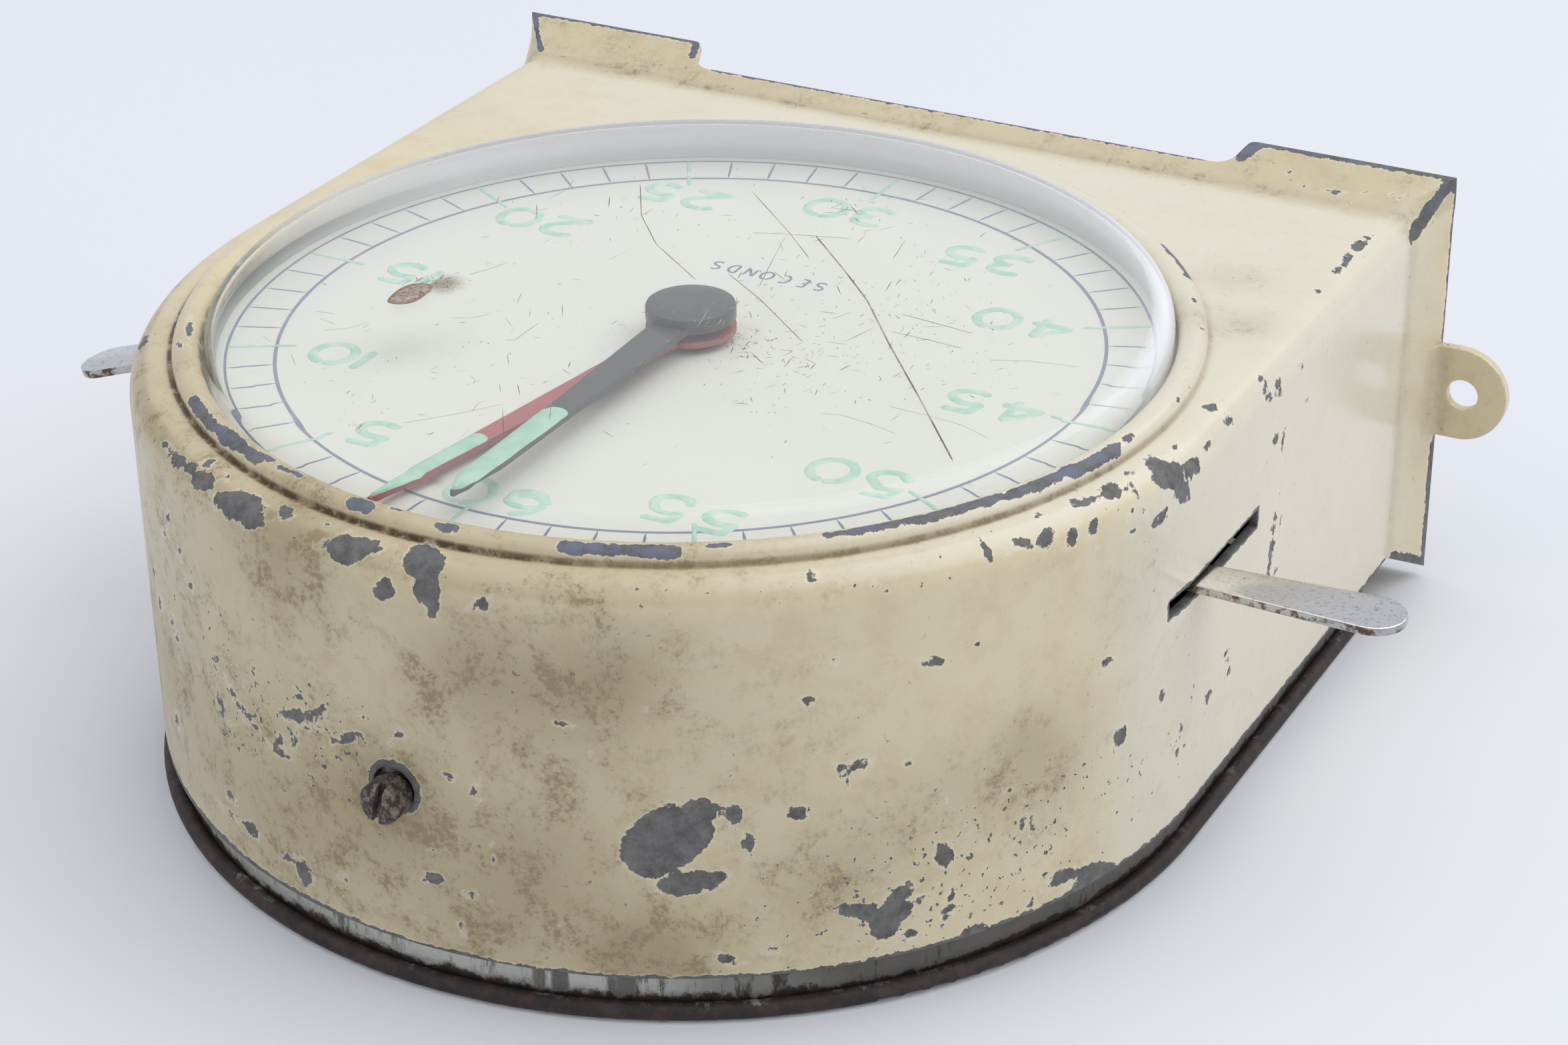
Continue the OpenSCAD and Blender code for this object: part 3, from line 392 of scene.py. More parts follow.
# A window of the wall under the 60 mark takes a finer patch with the hole for the case screw.
window = 5.2
arc_at = np.arctan2(cells[:, 0], -cells[:, 1]) * case_radius
in_window = ((np.abs(arc_at) < window) & (cells[:, 1] < 0)
    & (np.abs(cells[:, 2] - screw_level) < window))
cols = np.unique(wall_quads[in_window][:, :2] % wall_grid.shape[1])
rows = np.unique(wall_quads[in_window][:, (0, 3)] // wall_grid.shape[1])
loop = np.concatenate([wall_grid[rows[0], cols], wall_grid[rows[1:], cols[-1]],
    wall_grid[rows[-1], cols[-2::-1]], wall_grid[rows[-2:0:-1], cols[0]]])
around = joined(np.arctan2(loop[:, 0], -loop[:, 1]) * case_radius, loop[:, 2] - hole_level)
patch = blend(around, unit(around) * hole_radius, shares(7))
patch_turn = patch[..., 0] / case_radius
patch_grid = joined(case_radius * np.sin(patch_turn), -case_radius * np.cos(patch_turn),
    patch[..., 1] + hole_level)
patch_grid[0] = loop

# Front face and raised ring over one closed loop: the case's columns and the foot's bend line.
# The face's rows crowd towards the ring.
top_x = steps(-top_half, (15, -tab_start), (4, -cutout_half), (6, cutout_fillet - cutout_half),
    (52, cutout_half - cutout_fillet), (6, cutout_half), (4, tab_start), (15, top_half))
outline = np.concatenate([wall_grid[-1, :, :2], joined(top_x[-2:0:-1], foot_start)])
outward = unit(outline)
crowded = 1 - (shares(12) ** 1.4)[::-1]
face_grid = raised(blend(outline, (bead_crest + bead_wire) * outward, crowded), front_level)
roll = np.radians(np.linspace(0, 180, 15))
bead_grid = sweep(np.append(bead_crest + bead_wire * np.cos(roll), throat_radius),
    np.append(front_level + bead_wire * np.sin(roll), throat_level), outward)

# Flared foot: a closed loop of lines from the bend to the rim, where the side's rounded shoulder
# opens into a mitred corner, and the cut-out's edge is a line in the front and rear panels.


def panel_end(x):
    """How far a panel reaches along Y: to the lip in the cut-out, to the rim outside it, with a
    fillet in the inner corner and a small round on the outer one."""
    x = np.abs(x)
    inner = lip_end + cutout_fillet - np.sqrt(np.clip(cutout_fillet ** 2
        - np.clip(x - cutout_half + cutout_fillet, 0, cutout_fillet) ** 2, 0, None))
    outer = foot_end - tab_round + np.sqrt(np.clip(tab_round ** 2
        - np.clip(tab_start - x, 0, tab_round) ** 2, 0, None))
    return np.where(x <= cutout_half, inner, outer)


def flare(z_bend, z_rim, y):
    """Level of a flared panel at y, straight from the bend to the rim."""
    return z_bend + (z_rim - z_bend) * (y - foot_start) / (foot_end - foot_start)


def spread(x, half):
    """Share of the side's flare that a panel takes at x: 0 to spread_start, then up to 1 at half,
    and negative on the left."""
    return np.clip((np.abs(x) - spread_start) / (half - spread_start), 0, 1) * np.sign(x)


def foot_loop(side, corner, top, rear):
    """The line round the foot: up the left side, over the top, down the right side and back."""
    return np.concatenate([side * mirror, (corner * mirror)[1:], top[1:], corner[-2::-1],
        side[-2::-1], rear[-2:0:-1]])


rim_x = case_radius + side_flare
top_end = panel_end(top_x)
tab_stretch = (case_radius - tab_start) / (top_half - tab_start)
rear_x = np.sign(top_x) * (tab_start + (np.abs(top_x) - tab_start) * tab_stretch)
rear_x = np.where(np.abs(top_x) <= tab_start, top_x, rear_x)
rear_bend = joined(rear_x, foot_start, rear_edge)
bend_loop = foot_loop(joined(case_radius, foot_start, wall_z), joined(bend_r, foot_start, bend_z),
    joined(top_x, foot_start, front_level), rear_bend)
side_rim_z = rim_rear + (wall_z - rear_edge) * (low_corner - rim_rear) / (wall_z[-1] - rear_edge)
rim_loop = foot_loop(joined(rim_x, foot_end, side_rim_z),
    joined(rim_x + corner_swell * np.sin(2 * bend), foot_end,
    low_corner + (rim_top - low_corner) * bend / bend[-1]),
    joined(top_x + spread(top_x, top_half) * (rim_x - top_half), top_end,
    flare(front_level, rim_top, top_end)),
    joined(rear_x + spread(rear_x, case_radius) * side_flare, top_end,
    flare(rear_edge, rim_rear, top_end)))
# From the rear bend the sheet runs in under the case, a little narrower.
tuck_line = rear_bend[::-1]
tuck_end = tuck_line * (tuck_narrow, 1, 1) - (0, tuck_depth, 0)
tuck_grid = blend(tuck_end, tuck_line, shares(6))

# Where the paint has gone, as the photograph shows it: pixels across and down of each chip's
# middle, its width, its height, and the degrees that it leans, in a picture 2352 pixels wide.
photo_focal = 5262.1
photo_middle = np.array([1176.0, 784.0])
chips_seen = [
    (248, 667, 10, 10), (268, 692, 30, 20, 60), (286, 702, 20, 12, -20), (304, 722, 34, 28, 20),
    (312, 695, 18, 12, -30), (341, 716, 8, 8), (357, 757, 72, 42, 10), (381, 782, 26, 34, 90),
    (429, 767, 22, 20), (491, 785, 7, 7), (523, 820, 88, 30, 4), (520, 824, 46, 42),
    (635, 845, 62, 58), (640, 880, 42, 50), (650, 908, 14, 34, 0), (577, 885, 33, 33),
    (724, 905, 22, 16), (756, 884, 11, 7), (703, 912, 6, 6), (1480, 828, 36, 14, 70),
    (1537, 815, 34, 14, 15), (1569, 806, 33, 17, 100), (1608, 809, 26, 13, 110),
    (1640, 790, 25, 14, 110), (1557, 774, 9, 8), (1512, 835, 8, 6, 30), (1626, 752, 36, 13, -8),
    (1666, 738, 34, 22), (1700, 738, 26, 11, 50), (1752, 712, 48, 42), (1735, 700, 40, 18, 30),
    (1787, 702, 28, 26), (1775, 738, 24, 30), (1765, 671, 12, 9), (1811, 669, 20, 7, 110),
    (1699, 765, 10, 6, 90), (1719, 776, 20, 6, 70), (1741, 777, 30, 11, -50), (1692, 711, 12, 4),
    (1698, 799, 10, 5, -40), (1617, 786, 7, 6), (1645, 820, 5, 4, 90), (1425, 861, 6, 5),
    (1216, 865, 16, 15), (1311, 876, 12, 12), (1328, 885, 9, 8), (1253, 992, 13, 12),
    (1401, 994, 34, 14), (1466, 968, 8, 7), (1663, 992, 18, 11, -50), (1213, 1052, 24, 12),
    (1841, 979, 11, 4, 100), (1841, 1008, 18, 3, 95), (1743, 1042, 18, 7, 100),
    (1811, 1046, 16, 4, 110), (442, 1073, 34, 18, 10), (474, 1072, 22, 18), (464, 1091, 24, 7, 15),
    (525, 1106, 26, 15), (506, 1112, 16, 8), (418, 1112, 12, 18, 0), (443, 1112, 5, 18, 10),
    (423, 1132, 22, 7, 20), (483, 1062, 12, 12), (541, 1075, 9, 9), (600, 1100, 10, 15, -30),
    (587, 1114, 14, 10), (330, 1053, 28, 6, 75), (351, 1045, 30, 4, 70), (380, 1087, 34, 4, 55),
    (365, 1025, 6, 6), (347, 1087, 6, 5), (265, 1081, 14, 4, 75), (338, 995, 5, 4),
    (341, 1010, 4, 4), (347, 1196, 16, 6, 60), (376, 1244, 30, 13, 50), (352, 1226, 28, 4, 40),
    (456, 1309, 40, 20, 60), (430, 1288, 26, 8, 10), (515, 1317, 16, 9, 70), (653, 1316, 34, 16),
    (707, 1343, 20, 11, 10), (676, 1167, 14, 10), (662, 1163, 7, 7), (712, 1183, 22, 12, 110),
    (717, 1203, 6, 6), (738, 1268, 6, 6), (741, 1289, 6, 8), (694, 1393, 18, 8, 70),
    (736, 1351, 5, 5), (648, 1276, 6, 4), (1001, 1258, 146, 92, -25), (972, 1288, 70, 56),
    (1048, 1222, 56, 46), (1041, 1324, 105, 34, -10), (1075, 1318, 40, 22),
    (1101, 1225, 34, 26, 80), (1123, 1266, 29, 17, 70), (1197, 1220, 24, 21),
    (1262, 1160, 40, 15, 60), (1290, 1145, 36, 15, -15), (1360, 1145, 13, 10), (966, 1066, 11, 9),
    (846, 1087, 20, 8, 10), (887, 1132, 8, 8), (1417, 1284, 36, 26, 90), (1302, 1370, 88, 22, 10),
    (1325, 1388, 44, 44), (1351, 1341, 46, 26, -50), (1345, 1365, 50, 34),
    (1423, 1367, 26, 18, -40), (1380, 1346, 20, 9), (1429, 1343, 10, 8), (1365, 1401, 20, 11),
    (1640, 1305, 60, 20, -15), (1630, 1322, 36, 18, -20), (1592, 1316, 34, 15, -30),
    (1546, 1355, 20, 12, -60), (1460, 1393, 34, 9, -10), (1090, 1439, 40, 13, 15),
    (1157, 1425, 22, 12, -10), (842, 1385, 8, 8), (1206, 1374, 8, 8), (1680, 1103, 32, 12, -70),
    (1535, 1234, 17, 9, 100), (1512, 1187, 8, 7), (1422, 1201, 8, 6), (1745, 1105, 10, 5, 70),
    (1757, 1118, 8, 5, 60), (1770, 1098, 12, 4, 100), (1765, 1130, 8, 4, 90),
    (253, 778, 10, 4, 80), (247, 800, 8, 4, 80), (270, 830, 10, 4, 75), (240, 905, 12, 3, 80),
    (258, 930, 10, 4, 80), (285, 880, 7, 4, 70), (265, 955, 8, 3, 80), (232, 860, 9, 3, 85),
    (1908, 818, 84, 5, 96), (1921, 788, 12, 3, 95), (1914, 655, 16, 5, 95),
    (1926, 655, 18, 3, 100), (1913, 856, 10, 4, 90), (1960, 602, 8, 3, 100),
    (2042, 366, 32, 12, -35), (2020, 389, 24, 11, -55), (2009, 405, 18, 9), (1977, 437, 9, 5, -10),
    (1951, 550, 10, 5, 70), (1919, 581, 28, 9, 85), (1902, 595, 17, 10, 60),
    (1892, 569, 13, 7, 50), (1821, 613, 21, 9, 15), (1841, 629, 16, 10, 50),
    (2001, 288, 22, 9, 10), (2095, 294, 14, 6), (2050, 289, 7, 5), (1959, 281, 6, 5),
    (1930, 257, 8, 6), (284, 496, 8, 28), (269, 518, 8, 8), (212, 514, 24, 14, -40),
    (2024, 308, 5, 12), (1963, 323, 6, 6)]
# Worn stretches of the raised ring: first and last direction, radius, half width.
ring_wear = np.array([(-129, -119, 68.4, 0.75), (-120, -112, 68.0, 0.95),
    (-111.6, -110.4, 67.2, 0.4), (-108.6, -107.4, 67.5, 0.35), (-106.3, -105.4, 67.2, 0.35),
    (-97.2, -95.1, 68.0, 0.95), (-92.9, -91.3, 66.9, 0.3), (-86.5, -84.8, 68.0, 0.6),
    (-73, -62, 68.2, 0.85), (-58.5, -56.5, 67.6, 0.35), (-46.4, -37, 67.4, 0.6),
    (-37, -26.8, 67.6, 0.75), (-26.2, -17, 67.9, 0.8), (-17, -10.3, 68.4, 0.85),
    (36, 45, 68.6, 0.8), (28.2, 29.2, 67.5, 0.3), (21.2, 21.8, 68.2, 0.3),
    (3.8, 4.6, 68.7, 0.3), (-8.4, -6.8, 68.2, 0.45)])
# Dirt that has settled: x, y, z, reach and strength.
stains = np.array([(14, -73.7, 49, 9, 0.7), (24, -71, 45, 9, 0.75), (9, -74.4, 46, 8, 0.4),
    (0, -75, 28, 8, 0.6), (-6, -74.7, 24, 12, 0.45), (12, -74, 11, 9, 0.6),
    (34, -66.8, 9.5, 8, 0.9), (28, -69.5, 10, 7, 0.6), (50, -56, 18, 8, 0.7),
    (62, -42, 30, 7, 0.35), (68, -31.6, 27, 8, 0.7), (66, -35, 33, 5, 0.5),
    (40, -63.4, 40, 14, 0.3), (-20, -72.3, 14, 12, 0.35), (20, -72, 26, 12, 0.3),
    (57, -48.7, 25, 9, 0.35), (73, -17, 45, 9, 0.3), (60, 46, 61, 5, 0.35),
    (67, 33, 61, 4, 0.45), (60, 28, 61, 6, 0.4), (57, 12, 63, 6, 0.25),
    (30, -69, 51, 7, 0.7), (18, -73, 22, 9, 0.45), (-15, -73, 57, 8, 0.8)])
# Clusters of pinholes in the near wall: x, z, reach and strength.
pinholes = [(-11, 34, 9, 1.0), (-28, 32, 9, 0.7), (-40, 45, 14, 0.5), (0, 12, 30, 0.3),
    (-27, 27, 6, 0.5), (57, 12, 12, 0.7), (45, 30, 20, 0.35), (70, 20, 12, 0.6)]
# Edges worn bare: both ends and half the width.
bare_edges = [((74.4, 76.6, 58.2), (78, 85.1, 64.9), 0.95),
    ((-72, 78, 61.9), (-78, 85.1, 64.9), 0.5), ((78, 85.1, 1.5), (78, 85.1, 64.9), 0.35),
    ((-78, 85.1, 1.5), (-78, 85.1, 64.9), 0.3), ((47.5, 85.1, 64.9), (78, 85.1, 64.9), 0.8),
    ((-47.5, 85.1, 64.9), (-78, 85.1, 64.9), 0.5), ((46.3, 82, 63.6), (47.2, 84.6, 64.7), 1.1),
    ((-46.3, 82, 63.6), (-47.2, 84.6, 64.7), 0.6), ((-42, 80.1, 62.75), (42, 80.1, 62.75), 0.22),
    ((78, 85, 1.5), (75.6, 77.5, 5.6), 1.3), ((50, 85.1, 1.5), (78, 85.1, 1.5), 0.6),
    ((-50, 85.1, 1.5), (-78, 85.1, 1.5), 0.5), ((78, 84.9, 22), (78, 85.1, 1.5), 0.9)]
far_from_bare = 6.0


def in_photo(points):
    """Photo pixels of points in mm, and the mm that one pixel spans at each of them."""
    away = (points / 1000 - camera_at) @ camera_axes
    return (photo_middle + photo_focal * away[:, :2] * (-1, 1) / away[:, 2:],
        -away[:, 2] * 1000 / photo_focal)


def nearer(bare, size, gap, half):
    """The least distance to a bare place so far, and half the width of that place."""
    return np.minimum(bare, gap), np.where(gap < bare, half, size)


def worn(points, normals, lines, chips):
    """Signed distance in mm to the nearest bare place, negative inside one, and half the width of
    that place. A chip is an ellipse in the photograph, on what faces it there, and a line is a
    segment with a half width."""
    bare, size = np.full(len(points), far_from_bare), np.full(len(points), 0.5)
    seen, span = in_photo(points)
    toward = camera_at * 1000 - points
    facing = (normals * toward).sum(1) > 0.08 * np.linalg.norm(toward, axis=1)
    for across, down, wide, high, *lean in chips:
        c, s = math.cos(math.radians(sum(lean))), math.sin(math.radians(sum(lean)))
        away = seen - (across, down)
        reach = np.hypot(away @ (c, s) * 2 / wide, away @ (-s, c) * 2 / high)
        half = min(wide, high) / 2 * span
        gap = np.where(facing, (reach - 1) * half, far_from_bare)
        bare, size = nearer(bare, size, gap, half)
    for start, end, half in lines:
        way = np.subtract(end, start)
        t = np.clip((points - start) @ way / (way @ way), 0, 1)
        gap = np.linalg.norm(points - start - t[:, None] * way, axis=1) - half
        bare, size = nearer(bare, size, gap, 0.45)
    return bare, size


def ramp(value, start, end):
    """0 at start and before it, 1 at end and past it, straight between."""
    return np.clip((value - start) / (end - start), 0, 1)


def hump(value, middle, reach):
    """1 at the middle, falling off as a bell does."""
    return np.exp(-((value - middle) / reach) ** 2)


def shell_shades(points, normals):
    """Bare paint, specks, grime with painted shade, and rust at each point of the shell."""
    x, y, z = points.T
    bare, size = worn(points, normals, bare_edges, chips_seen)
    angle, radius = np.degrees(np.arctan2(y, x)), np.hypot(x, y)
    for first, last, at, half in ring_wear:
        gap = np.radians(np.clip(beyond(angle, (first, last)), 0, 90))
        level = front_level + math.sqrt(bead_wire ** 2 - (at - bead_crest) ** 2)
        gap = np.sqrt((gap * at) ** 2 + (radius - at) ** 2 + (z - level) ** 2) - half
        bare, size = nearer(bare, size, gap, half)
    slot_gap = np.hypot(np.clip(beyond(y, slot_span), 0, None),
        np.clip(beyond(z, slot_levels), 0, None))
    bare = np.where(np.abs(x) > 70, np.minimum(bare, slot_gap - 0.35), bare)
    low_edge = 0.35 + 0.5 * ramp(x, -5, -35) * (y < 20)
    bare = np.where(y < foot_start - 1, np.minimum(bare, z - rear_edge - low_edge), bare)
    hole_gap = np.hypot(x - 0.2, z - hole_level - 0.3)
    bare = np.where(y < -70, np.minimum(bare, hole_gap - hole_radius - 0.75), bare)
    specks = 0.1 + 0.35 * hump(z, 59.5, 2.5) * (y < 10)
    for at, level, reach, strength in pinholes:
        away = np.where(y < 0, np.hypot(x - at, z - level), 300)
        specks += strength * hump(away, 0, reach)
    # Dirt and painted shade: the near wall is darker, most of all low down and towards the left,
    # where painted shade stands for light that falls less there. All of it is less on the right and
    # at the foot of the wall. The stains are settled dirt, and the creases by the raised ring, the
    # foot's bend and the foot's top panel are darker too.
    less_on_right = np.clip((75 - x) / 60, 0.2, 1)
    less_at_foot = np.clip(z / 26, 0.25, 1)
    grime_and_shade = 0.1 + 0.28 * ramp(y, 0, -40) * (z < 59) * less_on_right
    grime_and_shade += 0.75 * less_at_foot * ramp(z, 42, 0) * ramp(y, 30, -20) * (0.3 + 0.7 * less_on_right)
    grime_and_shade += 0.6 * less_at_foot * ramp(x, 15, -45) * (z < 60.5) * ramp(y, 45, 0)
    grime_and_shade += 0.75 * ramp(y, -15, -60) * (z >= 59) * less_on_right
    for *middle, reach, strength in stains:
        grime_and_shade += strength * hump(np.linalg.norm(points - middle, axis=1), 0, reach)
    crease = hump(radius, 69.35, 0.35) * (z < front_level + 0.6) * (z > 60.5)
    crease += hump(radius, 65.1, 0.35) * (z > 59)
    grime_and_shade += 1.5 * crease * (0.35 + 0.65 * ramp(y, 18, -12))
    grime_and_shade += 0.5 * hump(y, foot_start, 1.2) + 0.45 * (y > foot_start) * (z > 60)
    rust = crease * ramp(y, -5, -35) * ramp(x, 35, 5)
    return {"bare": np.clip(bare, -2, 6), "chip_size": np.clip(size, 0.15, 0.8),
        "specks": np.clip(specks, 0, 1), "grime_and_shade": np.clip(grime_and_shade, 0, 1.6),
        "rust": np.clip(1.6 * rust, 0, 1)}


def shade(place, key):
    """The value that the mesh carries under a name."""
    return node(place.id_data, "Attribute", attribute_name=key).outputs["Fac"]


def axes_of(vector):
    """The three parts of a vector."""
    return node(vector.id_data, "SeparateXYZ", {0: vector}).outputs


def enamel(name):
    """Cream stoved enamel on slate primer. Attribute bare is the distance to a bare place in mm,
    chip_size half that place's width, specks the density of pinholes, grime_and_shade the dirt and
    painted shade and rust the brown line in a crease; noise roughens every outline. The face
    towards the right and the right side are painted paler as painted light, and each chip has a
    painted highlight round its rim."""
    made, shader, place = new_finish(name, 0.2)
    x, y, z = axes_of(place)
    grime_and_shade = shade(place, "grime_and_shade")
    broad = linear(grain(place, 250, 5, 0.72), 2.3, -1.15)
    edge = calc("MULTIPLY_ADD", broad, shade(place, "chip_size"), shade(place, "bare"))
    edge = plus(edge, linear(grain(place, 800, 4, 0.6), 1.2, -0.6))
    pin = linear(shade(place, "specks"), -0.17, 0.80)
    pin = times(calc("SUBTRACT", pin, grain(place, 900, 4, 0.55)), 6)
    edge = calc("MINIMUM", edge, pin)
    chipped = step(edge, 0.09, -0.04)
    chip_rim_highlight = step(edge, 0.42, 0.06)
    cream = tint(grain(place, 22, 2), (0.735, 0.64, 0.415), (0.795, 0.71, 0.485))
    cream = tint(step(grain(place, 140, 5, 0.65), 0.42, 0.75), cream, (0.71, 0.60, 0.39))
    # Painted light: the face towards the right and back, and the right side wall, are paler where
    # the key lamp falls.
    painted_light = times(step(z, 0.0588, 0.0606), step(plus(x, y), -0.05, 0.05))
    painted_light = times(painted_light, step(y, 0.080, 0.072))
    painted_light_side = times(step(x, 0.070, 0.0745), step(y, 0.0845, 0.072))
    painted_light = calc("MAXIMUM", painted_light, painted_light_side)
    cream = tint(times(painted_light, 0.65), cream, (0.82, 0.775, 0.655))
    # Dirt and painted shade, broken up by noise, darken the cream.
    dirt_and_shade = times(grime_and_shade, step(grain(place, 150, 9, 0.82), 0.46, 0.72))
    dirt_and_shade = times(dirt_and_shade, linear(step(grain(place, 1300, 3, 0.6), 0.42, 0.60), 0.6, 0.3))
    dirt_and_shade = plus(dirt_and_shade, times(grime_and_shade, 0.41))
    cream = tint(calc("MINIMUM", dirt_and_shade, 0.86), cream, (0.25, 0.185, 0.085))
    rusty = times(shade(place, "rust"), step(grain(place, 500, 5, 0.7), 0.36, 0.56))
    cream = tint(rusty, cream, (0.105, 0.06, 0.028))
    spots = times(step(grain(place, 900, 3, 0.5), 0.68, 0.73), linear(grime_and_shade, 0.6, 0.12))
    cream = tint(spots, cream, (0.20, 0.12, 0.06))
    # Painted highlight: a paler rim round each chip, where the lifted paint edge catches the light.
    cream = tint(times(chip_rim_highlight, 0.35), cream, (0.86, 0.80, 0.66))
    primer = tint(step(grain(place, 420, 7, 0.8), 0.32, 0.68), (0.08, 0.079, 0.077),
        (0.185, 0.181, 0.17))
    blue = times(step(z, 0.0600, 0.0622), step(grain(place, 240, 5, 0.7), 0.40, 0.62))
    primer = tint(blue, primer, (0.15, 0.165, 0.225))
    gloss = plus(linear(grain(place, 60, 4), 0.16, 0.10), times(dirt_and_shade, 0.3))
    give(shader, Base_Color=tint(chipped, cream, primer),
        Roughness=calc("MAXIMUM", gloss, times(chipped, 0.55)))
    rise = plus(linear(chipped, -0.75, 0.8), times(grain(place, 260, 3), 0.09))
    relief(shader, rise, 0.00022)
    return made


cream_enamel = enamel("cream_enamel")
case_parts = [(wall_grid, wall_quads[~(in_slot | in_window)])]
case_parts += [skin(grid, True) for grid in (patch_grid, face_grid, bead_grid)]
case_parts += [skin(blend(bend_loop, rim_loop, shares(11)), True), skin(tuck_grid)]
case_shell = surface("case_pressing", case_parts, "case", cream_enamel,
    wall=sheet_thick, edge=0.18, shades=shell_shades)
# The press trims the rim flat in the foot's end plane.
trimmed = read(case_shell.data.vertices, "co")
trimmed[:, 1] = np.minimum(trimmed[:, 1], foot_end / 1000)
move_points(case_shell.data, trimmed)
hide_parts("case_shell")

# Screw ears: two tongues of the shell's side panels, turned outwards at the rim and rounded, each
# with a hole for a wall screw. The same enamel, worn to the primer along the cut edge.
ear_level = 31.8
ear_round = 7.2
ear_centre = 81.5
ear_hole = 2.4
ear_hole_at = 82.0
ear_face = 83.6
ear_thick = 1.5
ear_start = (76.6, 81.2)
ear_bend = 1.9
ear_bend_at = 79.1
ear_root = 79.5


def ear(side):
    """Grids for one ear's near face: a strip that follows the side panel and bends out over a
    quarter turn, then rings from the outline in to the hole."""
    bend_at = np.linspace(math.atan2(side_flare, foot_end - foot_start), math.pi / 2, 7)
    turned = joined(-np.cos(bend_at), np.sin(bend_at)) * ear_bend
    path = np.concatenate([[ear_start], turned + (ear_bend_at, ear_face - ear_bend),
        [(ear_root, ear_face)]])
    up = np.linspace(-ear_round, ear_round, 19)
    strip, strip_quads = skin(joined(path[:, None, 0], path[:, None, 1], ear_level + up))
    tip = np.radians(np.linspace(-90, 90, 29))
    edge = np.concatenate([[(ear_root, -ear_round), (ear_root + 1, -ear_round)],
        joined(ear_centre + ear_round * np.cos(tip), ear_round * np.sin(tip)),
        [(ear_root + 1, ear_round)], joined(ear_root, up[:0:-1])]) - (ear_hole_at, 0)
    flat = blend(edge, unit(edge) * ear_hole, shares(8))
    disc = skin(joined(flat[..., 0] + ear_hole_at, ear_face, flat[..., 1] + ear_level), True)
    parts = [(strip, strip_quads[:, ::-1]), disc]
    if side < 0:
        return [(grid * mirror, quads[:, ::-1]) for grid, quads in parts]
    return parts


def ear_shades(points, normals):
    """Bare metal along the ears' outline and hole, and a little dirt with painted shade, darker
    along the bend at the root.
    """
    x, z = np.abs(points[:, 0]), points[:, 2] - ear_level
    inside = ear_round - np.hypot(np.clip(x - ear_centre, 0, None), z)
    hole = np.hypot(x - ear_hole_at, z) - ear_hole
    return {"bare": np.minimum(inside, hole + 0.1) + 0.25, "specks": np.full(len(x), 0.15),
        "chip_size": np.full(len(x), 0.4), "grime_and_shade": 0.28 + 0.3 * hump(x, 79, 1.2),
        "rust": np.zeros(len(x))}


surface("screw_ears", ear(1) + ear(-1), "case", cream_enamel, wall=ear_thick,
    edge=0.15, shades=ear_shades)

# Foot plate and back cover. The cover is a tinplate tray: its band shows as a grey-green strip
# above a rolled rim that has rusted dark, and rust has run down the band. The foot plate is the
# same sheet, spot-welded in behind the flared foot.


def dress(names, finish):
    """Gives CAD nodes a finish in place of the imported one."""
    for name in names:
        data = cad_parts[name].data
        data.materials.clear()
        data.materials.append(finish)


def tinplate(name, rust):
    """Dull tin with grey-green bloom and brown runs; everything below the band's foot is rust,
    and so is the right of the band. A bare line is left along the floor."""
    made, shader, place = new_finish(name, 0.4)
    x, _, z = axes_of(place)
    tin = tint(grain(place, 45, 4), (0.47, 0.48, 0.43), (0.68, 0.69, 0.63))
    marks = step(grain(stretched(place, (1, 1, 0.25)), 380, 6, 0.75), 0.54, 0.66)
    tin = tint(times(marks, rust), tin, (0.11, 0.095, 0.085))
    run = step(grain(stretched(place, (1, 1, 0.2)), 150, 5, 0.65), 0.53, 0.62)
    brown = tint(step(grain(place, 380, 7, 0.75), 0.38, 0.68), (0.016, 0.013, 0.0125),
        (0.062, 0.033, 0.025))
    wobble = linear(grain(place, 180, 7, 0.75), 0.005, -0.0025)
    foot = step(plus(z, wobble), 0.0038, 0.0026)
    right = step(plus(x, times(grain(place, 60, 3), 0.03)), 0.035, 0.07)
    share = calc("MAXIMUM", times(run, 0.75), calc("MAXIMUM", foot, times(right, 0.8)))
    floor_line = step(plus(z, times(wobble, 0.16)), 0.00035, 0.0005)
    share = times(times(share, rust), floor_line)
    give(shader, Base_Color=tint(share, tin, brown), Metallic=linear(share, -0.5, 0.55),
        Roughness=linear(share, 0.25, 0.36))
    relief(shader, plus(grain(place, 900, 4), times(share, grain(place, 350, 4))), 0.0001)
    return made


dress(["back_cover"], tinplate("rusted_tinplate", 1.0))
dress(["foot_plate", "cover_lug", "lug_rivets", "motor_can", "stator_plate"],
    tinplate("clean_tinplate", 0.25))

# Clear cover: a moulded dome of transparent plastic, yellowed a little, held by its flange under
# the front face. It is scratched all over, and something hot has pitted it near the 15 mark.
flange_radius = 69.0
flange_low = 58.4
flange_top = 59.8
riser_radius = 64.8
cover_edge = 65.6
cover_apex = 67.2
cover_round = 3.4
cover_wall = 1.0
inner_radius = riser_radius - cover_wall
worn_clear = (0.97, 0.97, 0.95)


def cap_height(r, rise, reach):
    """Height above the edge of a low spherical cap that rises by rise over a radius of reach."""
    ball = (reach ** 2 + rise ** 2) / (2 * rise)
    return np.sqrt(np.clip(ball ** 2 - r ** 2, 0, None)) - (ball - rise)


def dome(r, edge=cover_edge, reach=riser_radius - cover_round):
    """Level of the clear cover at radius r, inside its rounded edge. It is the outside face's
    unless another edge and reach are given."""
    return edge + cap_height(r, cover_apex - cover_edge, reach)


def crown(radius, rounding, edge, count):
    """Radius and level along one face of the cover, from its riser over the rounded edge to the
    middle."""
    corner = np.radians(np.linspace(0, 90, 13))
    reach = radius - rounding
    r = np.linspace(reach, 0.01, count)[1:]
    return np.concatenate([joined(reach + rounding * np.cos(corner),
        edge - rounding + rounding * np.sin(corner)), joined(r, dome(r, edge, reach))])


